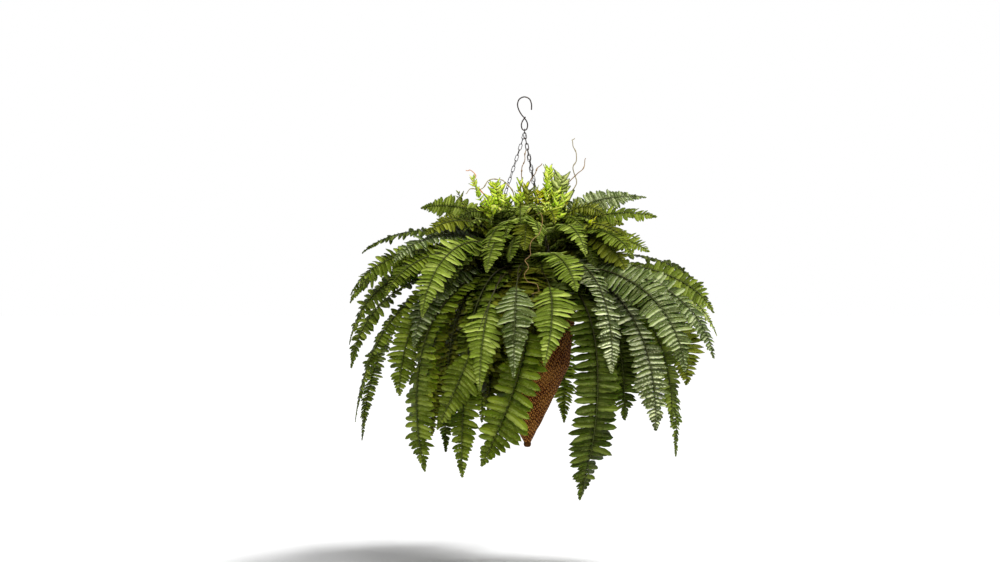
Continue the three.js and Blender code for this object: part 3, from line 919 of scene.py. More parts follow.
@dataclass
class MossMound:
    """A low uneven mound of moss in the basket's mouth, with short tufts on it."""

    radius: float = 131.0
    height: float = 22.0
    clump: float = 7.0
    clump_size: float = 14.0
    edge: float = 8.0
    tufts: int = 1500
    tuft_radius: float = 1.1
    tuft_root: float = 1.5
    tuft_length: tuple[float, float] = (5.0, 14.0)
    tuft_lean: float = 0.45
    sides: int = 96
    rings: int = 30

    def lift(self, x: Array, y: Array) -> Array:
        """Give the mound's height: a dome with clumps, level with the soil at its edge.

        Args:
            x: Places along x from the basket's axis.
            y: Places along y from it.

        Returns:
            The height there.
        """
        dome = np.clip(1 - (np.hypot(x, y) / self.radius) ** 2, 0, 1)
        clumps = self.clump * ripple(x / self.clump_size, y / self.clump_size, 9)
        return SOIL_TOP + dome**0.6 * (self.height * 0.6 + clumps)

    def build(self, moss: Material) -> None:
        """Build the mound as rings from the edge to the middle, closed below, and the tufts on it.

        Args:
            moss: The moss material.
        """
        turn = full_turn(self.sides)
        reach = self.radius * np.linspace(1, 0.004, self.rings)[:, None]
        x, y = reach * np.cos(turn), reach * np.sin(turn)
        top = np.stack([x + PLANT_X, y, self.lift(x, y)], -1)
        points = np.concatenate([top[:1] - self.edge * UP, top])
        faces, corner = grid_faces(self.rings + 1, self.sides, True)
        surface = Surface()
        surface.add(points.reshape(-1, 3), faces, corner / self.sides)
        ring = np.arange(self.sides)
        surface.cover(np.stack([ring[::-1], ring + self.rings * self.sides]))
        self.add_tufts(surface)
        finished(surface.build("moss_mound", [moss]), Slot.MOSS, "soil")

    def add_tufts(self, surface: Surface) -> None:
        """Add the tufts, all at once: each is a thin leaning cone of three sides at a seeded place.

        Args:
            surface: Where they go.
        """
        rng = np.random.default_rng(21)
        angle = rng.uniform(0, 2 * math.pi, self.tufts)
        far = self.radius * np.sqrt(rng.uniform(0.0, 0.97, self.tufts))
        x, y = far * np.cos(angle), far * np.sin(angle)
        base = np.column_stack([x + PLANT_X, y, self.lift(x, y) - self.tuft_root])
        lean = np.column_stack([rng.normal(0, self.tuft_lean, (self.tufts, 2)), np.ones(self.tufts)])
        tip = base + unit(lean) * rng.uniform(*self.tuft_length, (self.tufts, 1))
        spin = rng.uniform(0, 2 * math.pi, (self.tufts, 1)) + full_turn(3)
        ring = base[:, None] + self.tuft_radius * np.stack([np.cos(spin), np.sin(spin), 0 * spin], -1)
        cone = np.concatenate([ring, tip[:, None]], axis=1)
        pattern = np.array([[0, 1, 3], [1, 2, 3], [2, 0, 3], [2, 1, 0]])
        faces = (pattern + 4 * np.arange(self.tufts)[:, None, None]).reshape(-1, 3)
        surface.add(cone.reshape(-1, 3), faces, np.zeros((len(faces), 3, 2)))


LATE_START = 0.48


@dataclass(frozen=True)
class Blade:
    """One blade of a frond: where its tip hangs, how high it arches, how wide it is and its tone.

    The azimuth and roll are in degrees and the other sizes in millimetres: lift above the stem's foot, reach
    from the basket's axis, height of the tip, width, and how far the curve is pushed out (belly) and aside
    (bend). The bare share of the midrib has no leaflets.
    """

    azimuth: float
    lift: float
    reach: float
    tip: float
    width: float
    tone: Tone
    roll: float = 0.0
    bare: float = 0.07
    belly: float = 0.0
    bend: float = 0.0

    @property
    def late(self) -> bool:
        """Tell whether the leaflets start only near the middle of the midrib."""
        return self.bare > LATE_START


@dataclass(frozen=True)
class LeafletCut:
    """The pattern that every leaflet is cut to: stations out and columns across, on two faces."""

    out: tuple = (0.0, 0.13, 0.28, 0.43, 0.58, 0.71, 0.86, 1.0)
    across: tuple = (-1.0, -0.5, 0.0, 0.5, 1.0)

    def pattern(self) -> tuple[Array, Array, Array, Array]:
        """Lay out one leaflet.

        Returns:
            For each point its share out, its place across and its side (1 top, -1 under, 0 edge); the faces.
        """
        rows, columns = len(self.out), len(self.across)
        out, across = np.meshgrid(self.out, self.across, indexing="ij")
        inside = np.zeros((rows, columns), dtype=bool)
        inside[1:-1, 1:-1] = True
        top = np.arange(rows * columns).reshape(rows, columns)
        under = top.copy()
        under[inside] = rows * columns + np.arange(inside.sum())
        cells, _ = grid_faces(rows, columns, False)
        faces = np.concatenate([top.ravel()[cells][:, ::-1], under.ravel()[cells]])
        face = np.concatenate([np.where(inside, 1.0, 0.0).ravel(), np.full(inside.sum(), -1.0)])
        return np.append(out, out[inside]), np.append(across, across[inside]), face, faces


CUT = LeafletCut()
PLAIN_CUT = LeafletCut((0.0, 0.16, 0.37, 0.58, 0.79, 1.0), (-1.0, 0.0, 1.0))
SHADED_CUT = LeafletCut((0.0, 0.3, 0.63, 0.86, 1.0), (-1.0, 0.0, 1.0))


@dataclass(frozen=True)
class Row:
    """Where a blade's leaflets stand.

    Each has its share of the midrib, its hand (1 or -1), its foot and three directions. The bare share of the
    midrib, the leaflets' mean pitch and the midrib's length are the blade's own.
    """

    share: Array
    hand: Array
    foot: Array
    along: Array
    across: Array
    above: Array
    bare: float
    pitch: float
    length: float


@dataclass
class Frond:
    """A frond: a stem that stands in the moss, and one or more arched blades of leaflets on it."""

    name: str
    root_azimuth: float
    blades: list[Blade]
    shoots: list[Blade]
    outer_root: float = 94.0
    inner_root: float = 14.0
    young_root: float = 42.0
    root_height: float = 6.0
    foot_depth: float = 16.0
    highest: float = 330.0
    steep_fall: float = 500.0
    curve_points: int = 400
    rib_points: int = 201
    young_bare: float = 0.34
    wide_pitch: float = 11.5
    least_pitch: float = 2.6
    pitch_share: float = 0.118
    density: float = 1.12
    short_chance: float = 0.04
    leaf_thickness: float = 0.8
    stem_sides: int = 6

    @classmethod
    def of(cls, name: str, azimuth: float, blades: list[tuple], shoots: list[tuple] = ()) -> "Frond":
        """Make a frond from rows of the values of its blades and of the shoots that fill it."""
        return cls(name, azimuth, [Blade(*row) for row in blades], [Blade(*row) for row in shoots])

    @property
    def young(self) -> bool:
        """Tell whether it is one of the small bright fronds in the middle."""
        return self.name.startswith("young")

    def root(self) -> Array:
        """Give the stem's place: the higher the frond rises, the nearer the middle it stands."""
        rise = min(max(blade.lift for blade in self.blades) / self.highest, 1.0)
        radius = self.outer_root + (self.inner_root - self.outer_root) * rise
        radius = self.young_root if self.young else radius
        return polar(self.root_azimuth, radius, SOIL_TOP + self.root_height)

    def midrib(self, root: Array, blade: Blade) -> tuple[Array, Array]:
        """Arch the midrib: a cubic curve that rises to the shoulder, reaches out and falls to the tip.

        Args:
            root: Where the stem leaves the soil.
            blade: The blade's sizes.

        Returns:
            Points evenly spaced along the curve, with a slight wander, and the level direction square to it.
        """
        tip = polar(blade.azimuth, blade.reach, blade.tip)
        flat = (tip - root) * np.array([1.0, 1.0, 0.0])
        span = float(np.linalg.norm(flat))
        out = flat / span
        side = np.cross(UP, out)
        shoulder = root[2] + blade.lift
        steep = min(max((shoulder - blade.tip) / self.steep_fall, 0.0), 1.0)
        first = root + out * span * (0.1 + 0.2 * steep)
        first[2] = shoulder
        second = root + out * (span * (0.72 + 0.36 * steep) + blade.belly) + side * blade.bend
        second[2] = shoulder + (blade.tip - shoulder) * (0.12 + 0.1 * steep)
        t = np.linspace(0, 1, self.curve_points)[:, None]
        curve = (1 - t) ** 3 * root + 3 * (1 - t) ** 2 * t * first + 3 * (1 - t) * t**2 * second + t**3 * tip
        length = line_length(curve)
        share = np.linspace(0, 1, self.rib_points)[:, None]
        even = share * length[-1]
        points = np.concatenate([np.interp(even, length, curve[:, i]) for i in range(3)], axis=1)
        phase = math.radians(37.0 * blade.azimuth + 11.0 * blade.lift)
        wander = 0.013 * length[-1] * np.sin(math.pi * np.minimum(1, 2 * share)) ** 2 * share**0.5
        points = points + side * wander * np.sin(2 * math.pi * 1.6 * share + phase)
        points = points + UP * 0.5 * wander * np.cos(2 * math.pi * 2.3 * share + phase)
        return points, side

    def row(self, blade: Blade, rib: Array, side: Array, rng: Random) -> Row:
        """Seat a blade's leaflets in pairs along the midrib, closer to the tip, and roll the blade about it.

        Args:
            blade: The blade's sizes.
            rib: Evenly spaced points of the midrib.
            side: The level direction square to the midrib.
            rng: The frond's own seeded draws.

        Returns:
            The leaflets' places and directions.
        """
        length = float(line_length(rib)[-1])
        bare = self.young_bare if self.young else blade.bare
        pitch = self.least_pitch + self.pitch_share * blade.width
        pitch = self.wide_pitch if self.young or blade.late else pitch
        pairs = int(round(self.density * length * (1 - bare) / pitch))
        step = (np.arange(pairs) + 0.5) / pairs
        share = np.repeat(bare + (1 - bare) * (1.14 * step - 0.14 * step**5) * 0.996, 2)
        hand = np.tile([1.0, -1.0], pairs)
        share = np.clip(share + rng.normal(0, 0.0012, len(share)) + 0.1 * hand * pitch / length, 0, 0.998)
        where = share * (len(rib) - 1)
        low = np.minimum(where.astype(int), len(rib) - 2)
        part = (where - low)[:, None]
        tangents = unit(np.gradient(rib, axis=0))
        foot, along = (line[low] * (1 - part) + line[low + 1] * part for line in (rib, tangents))
        along = unit(along)
        level = unit(side - (along @ side)[:, None] * along)
        turning = 0.24 * np.sin(2 * math.pi * 1.2 * share + 0.7 * blade.azimuth) * np.minimum(1, 3 * share)
        roll = (math.radians(blade.roll) * np.minimum(1, 2 * share) + turning)[:, None]
        across = level * np.cos(roll) + np.cross(along, level) * np.sin(roll)
        spacing = (1 - bare) * length / pairs
        return Row(share, hand, foot, along, across, np.cross(along, across), bare, spacing, length)

    def sizes(self, blade: Blade, row: Row, rng: Random) -> tuple[Array, ...]:
        """Draw the leaflets' sizes: full along the blade, tapered to its tip and short near the axis.

        Args:
            blade: The blade's sizes.
            row: Where its leaflets stand.
            rng: The frond's own seeded draws.

        Returns:
            Each leaflet's reach, sweep to the tip, droop, half width and twist in radians.
        """
        share, hand, bare, count = row.share, row.hand, row.bare, len(row.share)
        start = 0.4 if self.young else bare if blade.late else 0.2
        leafy = (share - start) / (1 - start)
        inner = np.clip(leafy, 0, 1)
        taper = (0.66 if blade.late else 0.2) + rng.uniform(0, 0.12)
        if self.young:
            reach = blade.width / 2 * (0.42 + 0.6 * np.sin(math.pi * inner**0.8))
        else:
            narrow = np.clip(0.78 + 1.1 * leafy, 0.5, 1)
            reach = blade.width / 2 * (narrow * np.clip((1 - inner) / taper, 0, 1) ** 1.1 + 0.03)
            reach = np.minimum(reach, 0.4 * np.hypot(row.foot[:, 0] - PLANT_X, row.foot[:, 1]) + 24)
            reach *= np.clip(0.4 + 8 * (share - bare) + (0.6 if bare < 0.3 else 0), 0, 1)
        reach = reach * rng.normal(1, 0.13 if self.young else 0.06, count) + 2
        reach *= np.where(rng.uniform(0, 1, count) < self.short_chance, 0.65, 1.0)
        curl = 0.15 + 0.5 * share**3 if blade.late else 0.05 + 0.55 * share**5
        sweep = np.minimum(curl * reach, (1.004 - share) * row.length * 0.9)
        sweep += rng.normal(0, 0.07, count) * reach
        droop = (0.16 + rng.normal(0, 0.12, count)) * reach
        spacing = row.pitch * (1.14 - 0.7 * ((share - bare) / (1 - bare)) ** 4)
        half = spacing * rng.normal(0.61, 0.04, count)
        twist = rng.normal(0.25, 0.2, count) * hand
        if self.young:
            reach *= rng.normal(1, 0.16, count)
            sweep = (0.35 + 0.8 * inner**2 + rng.normal(0, 0.28, count)) * reach
            droop = rng.normal(0, 0.4, count) * reach
            half = 0.2 * reach * rng.normal(1, 0.15, count) + 0.8
            twist = rng.normal(0, 0.6, count) * hand
        return reach, sweep, droop, half, twist

    def outline(self, out: Array) -> tuple[Array, Array]:
        """Shape a leaflet: nearly even with a blunt tip, or rounded on a young frond.

        Args:
            out: Places along the leaflet, from 0 to 1.

        Returns:
            Its half width there as a share of the greatest, and its teeth as a factor about 1.
        """
        tooth = np.where(np.round(out * 100) % 2 == 0, 1, -1) * (out > 0.05)
        if self.young:
            round_form = 0.3 + 0.85 * np.sqrt(np.clip(1 - (1.7 * out - 0.85) ** 2, 0, 1)) - 0.5 * out**4
            return round_form, 1 + 0.17 * tooth
        return (1.04 - 0.06 * out) * np.clip((1 - out) / 0.26, 0.0004, 1) ** 0.6, 1 + 0.07 * tooth

    def leaflets(
        self, surface: Surface, blade: Blade, rib: Array, side: Array, rng: Random, slot: int
    ) -> None:
        """Cut a blade's leaflets, all at once, and set them along both sides of the midrib.

        A leaflet's point is foot + reach * out + sweep to the tip - droop * out squared + half width * place,
        with a ridge along its middle, a wave along its edges and a thickness that thins to its tip.

        Args:
            surface: Where the leaflets go.
            blade: The blade's sizes.
            rib: Evenly spaced points of the midrib.
            side: The level direction square to the midrib.
            rng: The frond's own seeded draws.
            slot: The blade's place in the piece's materials.
        """
        row = self.row(blade, rib, side, rng)
        sizes = self.sizes(blade, row, rng)
        reach, sweep, droop, half, twist, hand = (value[:, None, None] for value in (*sizes, row.hand))
        along, above, across = row.along[:, None], row.above[:, None], row.across[:, None] * hand
        axis = unit(across * reach + along * sweep)
        width = unit(along - np.sum(along * axis, -1, keepdims=True) * axis)
        plain = self.young or blade in self.shoots or "back" in self.name
        cut = SHADED_CUT if blade.tone is Tone.SHADED else PLAIN_CUT if plain else CUT
        out, place, face, faces = cut.pattern()
        uv = np.stack([out, place / 2 + 0.5], -1)[faces]
        out, place, face = (value[None, :, None] for value in (out, place, face))
        twist = twist * np.minimum(1, 2.2 * out)
        width = width * np.cos(twist) + above * np.sin(twist) * hand
        normal = np.cross(axis, width) * hand
        shape, tooth = self.outline(out)
        phase = rng.uniform(0, 2 * math.pi, (len(hand), 1, 1))
        wave = 0.1 * half * place * np.sin(2 * math.pi * 1.4 * out + phase) * out
        crown = half * (0.34 * (1 - np.abs(place)) + 0.1 * (1 - place**2))
        thick = self.leaf_thickness / 2 * face * (1 - 0.5 * out)
        points = (
            row.foot[:, None]
            + across * (reach * out - 1.6 * (1 - out))
            + along * (sweep * (0.35 * out + 0.65 * out**2))
            - above * (droop * out**2)
            + width * (half * shape * tooth * place)
            + normal * (crown * shape + wave + thick)
        )
        stamp = points.shape[1]
        drawn = rng.uniform(0, 1, (len(hand), 1))
        shade = np.repeat(np.stack([drawn, row.share[:, None], drawn], -1), stamp, axis=1)
        for way in (1, -1):
            chosen = row.hand == way
            many = int(chosen.sum())
            cells = (faces[:, ::way] + stamp * np.arange(many)[:, None, None]).reshape(-1, 4)
            corners = np.tile(uv[:, ::way], (many, 1, 1))
            surface.add(points[chosen].reshape(-1, 3), cells, corners, shade[chosen].reshape(-1, 3), slot)

    def build(self, finishes: dict[Tone, Material], stalk: Material, seed: int) -> None:
        """Build the frond as one piece.

        Args:
            finishes: The leaf material of each tone.
            stalk: The midrib's material.
            seed: The seed of this frond's draws.
        """
        rng = np.random.default_rng(seed)
        surface = Surface()
        root = self.root()
        blades = self.blades + self.shoots
        tones = list(dict.fromkeys(blade.tone for blade in blades))
        for blade in blades:
            rib, side = self.midrib(root, blade)
            stem = np.concatenate([[root - UP * self.foot_depth, root - UP * self.root_height], rib[::4]])
            share = np.concatenate([[0, 0], np.linspace(0, 1, len(stem) - 2)])
            radius = (0.8 if self.young else 1.0) * (1.7 - 1.15 * share)
            surface.tube(stem, radius, side, self.stem_sides, shade=share[:, None] * np.ones(3))
            self.leaflets(surface, blade, rib, side, rng, 1 + tones.index(blade.tone))
        piece = surface.build("leafy_" + self.name, [stalk] + [finishes[tone] for tone in tones])
        finished(piece, Slot.YOUNG if self.young else Slot.FROND, self.name)


@dataclass
class Twig:
    """A bare twig with knots, that stands in the moss among the stems."""

    name: str
    bark: str
    points: list
    offshoots: list = field(default_factory=list)
    sunk: float = 12.0
    stand: float = 8.0
    radius: float = 1.8
    taper: float = 0.75
    knots: int = 9
    knot_height: float = 0.6
    knot_share: float = 0.012
    wriggle: float = 1.3
    offshoot_girth: float = 0.45
    steps: int = 24
    sides: int = 9

    def build(self, finishes: dict[str, Material], seed: int) -> None:
        """Build the twig and its offshoots.

        Args:
            finishes: The bark material of each name.
            seed: The seed of this twig's draws.
        """
        rng = np.random.default_rng(seed)
        (x, y), rest = self.points[0], self.points[1:]
        surface = Surface()
        foot = [[x, y, SOIL_TOP - self.sunk], [x, y, SOIL_TOP + self.stand]]
        self.branch(surface, foot + rest, rng, 1.0)
        for points in self.offshoots:
            self.branch(surface, points, rng, self.offshoot_girth)
        finished(surface.build("bark_" + self.name, [finishes[self.bark]]), Slot.TWIG, self.name)

    def branch(self, surface: Surface, points: list, rng: Random, girth: float) -> None:
        """Carry one round branch through its points: radius = taper + a bump at each knot.

        Args:
            surface: Where it goes.
            points: Points that it goes through.
            rng: The twig's own seeded draws.
            girth: Its thickness, as a share of the main stem's.
        """
        path = smooth_path(points, self.steps * len(points))
        share = np.linspace(0, 1, len(path))
        phase = rng.uniform(0, 2 * math.pi, 2)
        path[:, 0] += self.wriggle * np.sin(0.21 * np.arange(len(path)) + phase[0]) * share
        path[:, 2] += self.wriggle * np.sin(0.17 * np.arange(len(path)) + phase[1]) * share
        knots = (share[:, None] - rng.uniform(0.1, 0.95, self.knots)) / self.knot_share
        swell = self.knot_height * np.exp(-(knots**2)).sum(1)
        radius = girth * (self.radius - self.taper * share + swell)
        radius[-3:] *= np.array([0.9, 0.7, 0.35])
        surface.tube(path, radius, Y_AXIS + 0.05 * UP, self.sides)


# The tones' short names in the tables below, in the order of the Enum.
D, M, B, G, S, O, Y, P, H, YG, LM = Tone

# Each row: the node, its stem's azimuth, its blades and the shoots that fill it. A blade has its azimuth,
# lift, reach, tip, width and tone, and then its roll, bare share, belly and bend as far as they aren't usual.
FROND_ROWS = [
    ("frond_front_1", -50, [(-58, 78, 251, -1075, 118, D, 0, 0.2, 240), (-44, 64, 280, -820, 96, H)]),
    ("frond_front_2", -84, [
        (-85, 62, 395, -713, 108, B, 0, 0.5, 0, 60), (-74, 58, 245, -662, 100, D, 0, 0.42),
    ], [
        (-97, 100, 170, -545, 66, D), (-76, 95, 190, -560, 62, M, 20), (-60, 90, 180, -560, 70, D),
        (-100, 70, 300, -700, 110, H), (-88, 66, 300, -740, 110, H), (-114, 70, 300, -760, 110, H),
    ]),
    ("frond_front_3", -98, [(-96, 94, 400, -743, 98, G, 0, 0.52)]),
    ("frond_front_4", -107, [(-109, 62, 390, -780, 102, B, 0, 0.53)]),
    ("frond_front_5", -90, [
        (-112, 60, 330, -975, 130, M, 0, 0.46, 0, 245), (-104, 66, 250, -800, 100, H, 0, 0.4),
        (-92, 60, 245, -715, 96, H, 0, 0.4),
    ], [
        (-114, 66, 260, -840, 116, H, 0, 0.3), (-122, 80, 300, -700, 110, D, 0, 0.3),
    ]),
    ("frond_front_6", -118, [
        (-114, 165, 270, -482, 62, B), (-123, 175, 196, -405, 60, O), (-119, 190, 236, -450, 76, B, 25),
        (-110, 190, 171, -383, 66, B, 20),
    ], [
        (-135, 215, 150, -360, 58, B, 30), (-100, 225, 120, -340, 54, B, 20),
    ]),
    ("frond_front_7", -42, [(-50, 195, 236, -442, 66, B)], [
        (-62, 215, 150, -350, 56, Y, 20), (-36, 205, 190, -380, 58, M, 20), (-30, 120, 190, -470, 100, H),
        (-24, 150, 210, -420, 100, H),
    ]),
    ("frond_front_8", -86, [
        (-70, 105, 344, -530, 72, B, 15), (-93, 185, 205, -424, 70, O), (-82, 195, 216, -411, 64, B, -25),
    ], [
        (-75, 225, 110, -330, 52, B), (-104, 160, 215, -455, 60, B, 30),
    ]),
    ("frond_left_front_1", -123, [
        (-121, 62, 335, -1006, 92, M, 0, 0.2), (-124, 66, 266, -830, 100, D, 0, 0.2),
    ]),
    ("frond_left_front_2", -116, [(-128, 62, 383, -882, 104, M, 0, 0.66, 0, 230)]),
    ("frond_left_front_3", -138, [(-138, 62, 364, -997, 98, M, 0, 0.07, 100), (-138, 60, 290, -800, 96, H)]),
    ("frond_left_front_4", -150, [(-152, 66, 316, -978, 86, Y), (-150, 66, 392, -805, 90, M, -50)]),
    ("frond_left_front_5", -146, [(-142, 78, 379, -676, 88, G, -20)]),
    ("frond_left_front_6", -132, [(-134, 165, 396, -598, 86, B, -20), (-133, 150, 299, -515, 86, D)], [
        (-150, 190, 200, -370, 60, B, -20), (-140, 120, 220, -480, 110, H), (-136, 140, 170, -470, 100, H),
    ]),
    ("frond_left_front_7", -158, [
        (-151, 120, 430, -546, 84, M, -30), (-158, 160, 385, -455, 84, G, -30),
        (-156, 190, 300, -382, 88, O, -25),
    ], [
        (-165, 215, 200, -345, 60, D, -30), (-160, 130, 240, -480, 110, H),
    ]),
    ("frond_left_1", -168, [(-170, 130, 486, -543, 92, M, -28)]),
    ("frond_left_2", -173, [(-179, 96, 490, -680, 86, M, -28)]),
    ("frond_left_3", -164, [(-165, 66, 489, -737, 88, M, -18)], [(-170, 100, 260, -600, 110, H)]),
    ("frond_left_4", -158, [(-161, 58, 485, -877, 60, M, -6, 0.07, -50)]),
    ("frond_left_5", 164, [(174, 175, 462, -427, 78, D, -26), (165, 165, 300, -390, 80, D, -40)], [
        (175, 190, 260, -350, 64, O, -40),
    ]),
    ("frond_left_6", 160, [(166, 118, 517, -567, 86, M, -35)]),
    ("frond_left_7", 155, [(155, 64, 526, -970, 60, M, 0, 0.07, -60), (160, 62, 350, -800, 96, H)]),
    ("frond_left_8", 150, [(150, 220, 349, -295, 70, M, -52), (140, 190, 290, -350, 84, O, -30)]),
    ("frond_left_9", 140, [(140, 58, 357, -953, 94, H, 30), (125, 66, 413, -1016, 88, D, 20)], [
        (145, 120, 280, -600, 120, H), (168, 130, 300, -500, 110, H),
    ]),
    ("frond_right_front_1", -43, [(-54, 112, 356, -741, 82, S, 0, 0.07, 40)]),
    ("frond_right_front_2", -37, [(-38, 72, 501, -736, 104, G, 40)]),
    ("frond_right_front_3", -29, [
        (-34, 160, 310, -479, 76, O, 30), (-25, 140, 353, -428, 76, M, 30),
        (-27, 190, 300, -412, 84, O, 30), (-37, 175, 340, -440, 76, M, 20),
    ], [
        (-20, 205, 210, -370, 60, B, 30), (-45, 150, 250, -470, 64, D, 20),
        (-33, 150, 260, -520, 100, D, 20), (-22, 140, 250, -480, 100, H, 30),
    ]),
    ("frond_right_front_4", -28, [
        (-35, 56, 401, -894, 100, S, 28), (-22, 56, 410, -889, 92, M, 30), (-26, 60, 290, -800, 96, O, 40),
    ], [
        (-15, 90, 250, -640, 110, H, 45), (-32, 74, 300, -873, 92, D, 30),
    ]),
    ("frond_right_front_5", -20, [(-20, 66, 519, -710, 96, G, 30)]),
    ("frond_right_1", -12, [(-11, 198, 356, -332, 84, M, 40)], [
        (-18, 225, 220, -330, 58, O, 40), (-2, 170, 290, -400, 70, D, 40), (-15, 110, 240, -480, 110, H),
    ]),
    ("frond_right_2", -4, [
        (-6, 76, 509, -592, 90, M, 32), (4, 60, 529, -658, 82, P, 30), (2, 60, 330, -800, 96, H),
    ]),
    ("frond_right_3", 11, [(10, 104, 486, -511, 84, D, 18)]),
    ("frond_right_4", 26, [(23, 240, 372, -266, 64, G, 50), (19, 190, 290, -345, 80, O, 40)]),
    ("frond_right_5", 27, [(24, 72, 473, -1013, 76, B, 8), (25, 62, 340, -780, 96, H, -50)], [
        (15, 84, 470, -800, 112, O, -66), (10, 100, 260, -620, 110, H),
    ]),
    ("frond_right_6", 40, [(40, 175, 424, -379, 78, M, 18), (58, 185, 250, -345, 84, M, 30)], [
        (60, 140, 300, -500, 110, H),
    ]),
    ("frond_right_7", 46, [(48, 60, 381, -900, 84, H, -30), (48, 62, 340, -700, 96, H, -30)], [
        (40, 120, 280, -600, 120, H), (30, 150, 300, -480, 110, H),
    ]),
    ("frond_back_1", 86, [
        (80, 195, 400, -340, 86, O), (98, 155, 440, -470, 86, M), (75, 215, 230, -330, 84, D),
        (105, 215, 230, -330, 84, M),
    ], [
        (32, 150, 230, -440, 120, H, -40), (50, 170, 200, -420, 120, H, -40),
        (150, 130, 200, -500, 120, H, 40), (140, 160, 200, -440, 120, H, 40),
    ]),
    ("frond_back_2", 122, [(116, 195, 400, -340, 86, M), (134, 155, 440, -470, 86, O)]),
    ("frond_back_3", 84, [(64, 76, 470, -680, 86, M), (82, 76, 470, -700, 86, D)], [
        (70, 120, 260, -600, 120, H), (90, 100, 280, -640, 120, H),
    ]),
    ("frond_back_4", 104, [(98, 76, 470, -680, 86, G), (116, 76, 460, -720, 86, M)], [
        (108, 120, 260, -600, 120, H), (125, 100, 280, -640, 120, H),
    ]),
    ("frond_back_5", 94, [
        (72, 58, 380, -930, 80, M), (92, 58, 380, -960, 80, D), (110, 58, 380, -930, 80, M),
    ]),
    ("young_frond_1", -165, [
        (-163, 130, 155, -222, 34, YG, 25), (-150, 120, 100, -239, 56, YG, 50),
        (-175, 100, 190, -262, 30, O, -10),
    ], [
        (-140, 110, 80, -275, 50, YG, 20), (-168, 90, 120, -300, 48, Y, 40),
        (-155, 110, 120, -285, 54, YG, 20), (-178, 100, 90, -300, 52, M, 50),
        (-130, 90, 110, -320, 58, D, 30),
    ]),
    ("young_frond_2", -105, [
        (-125, 110, 35, -235, 46, YG, 20), (-95, 130, 50, -246, 46, LM, 30), (-88, 120, 92, -262, 54, O),
    ], [
        (-60, 110, 45, -262, 50, YG, -20), (-150, 100, 60, -290, 50, O, 30), (-110, 125, 70, -275, 52, YG),
        (-100, 100, 85, -310, 58, YG, 10), (-80, 110, 60, -285, 52, YG, -20),
        (-130, 105, 85, -305, 56, M, 20),
    ]),
    ("young_frond_3", -50, [(-42, 120, 73, -222, 50, YG, -10), (-30, 110, 60, -275, 46, Y, -50)], [
        (-20, 110, 62, -248, 50, YG, -40), (-55, 100, 60, -262, 50, LM, -10), (-75, 90, 60, -300, 56, YG),
        (-38, 105, 105, -300, 58, YG, -40), (-60, 100, 100, -320, 58, M, -20),
        (-20, 100, 110, -315, 56, D, -50),
    ]),
    ("young_frond_4", 0, [
        (-4, 150, 60, -195, 46, YG, -30), (-2, 130, 95, -217, 64, P, -65), (9, 132, 140, -284, 42, Y, -30),
    ], [
        (-25, 110, 110, -275, 50, YG, -20), (5, 100, 165, -312, 50, LM, 50),
        (-15, 100, 80, -262, 52, YG, -30), (-15, 115, 150, -330, 62, YG, 50),
        (-24, 125, 188, -345, 56, LM, 30), (12, 105, 110, -290, 52, LM, -40),
        (-30, 95, 140, -335, 58, M, 20),
    ]),
]

# A twig has the x and y of its foot and then points of x, y and z, in millimetres from the hook's seat.
TWIGS = [
    Twig("twig_1", "orange", [
        [-36, 36], [-44, 44, -330], [-66, 46, -290], [-89, 46, -280], [-123, 46, -252], [-143, 46, -228],
        [-134, 46, -214], [-150, 46, -197], [-162, 46, -197],
    ]),
    Twig("twig_2", "grey", [
        [-22, -24], [-26, -26, -330], [-32, -26, -262], [-56, -26, -233], [-72, -26, -227],
        [-98, -26, -230], [-120, -26, -255], [-143, -26, -252], [-162, -26, -266],
    ]),
    Twig("twig_3", "brown", [
        [-6, 14], [-10, 20, -330], [-13, 24, -267], [-6, 24, -228], [-8, 24, -198], [0, 24, -172],
        [4, 24, -140],
    ]),
    Twig("twig_4", "brown", [
        [8, -10], [4, -12, -320], [7, -14, -250], [23, -14, -219], [37, -14, -195], [50, -14, -181],
    ], [[
        [6, -12, -350], [26, -80, -330], [40, -150, -326], [43, -212, -352], [39, -228, -368],
        [33, -236, -384], [19, -240, -396], [10, -250, -414], [11, -264, -436], [-3, -284, -454],
        [6, -296, -470], [-4, -306, -486], [1, -316, -506], [24, -322, -512], [30, -326, -528],
        [12, -330, -540],
    ]]),
    Twig("twig_5", "grey", [
        [60, 74], [90, 74, -340], [126, 74, -280], [134, 74, -254], [147, 74, -233], [138, 74, -186],
        [148, 74, -162], [140, 74, -131], [135, 74, -112], [141, 74, -104],
    ]),
    Twig("twig_6", "brown", [
        [26, 14], [36, 20, -360], [66, 26, -318], [108, 26, -281], [107, 26, -254], [140, 26, -214],
        [161, 26, -195], [171, 26, -164],
    ]),
]

SILVER_SHEEN = (218, 225, 178)

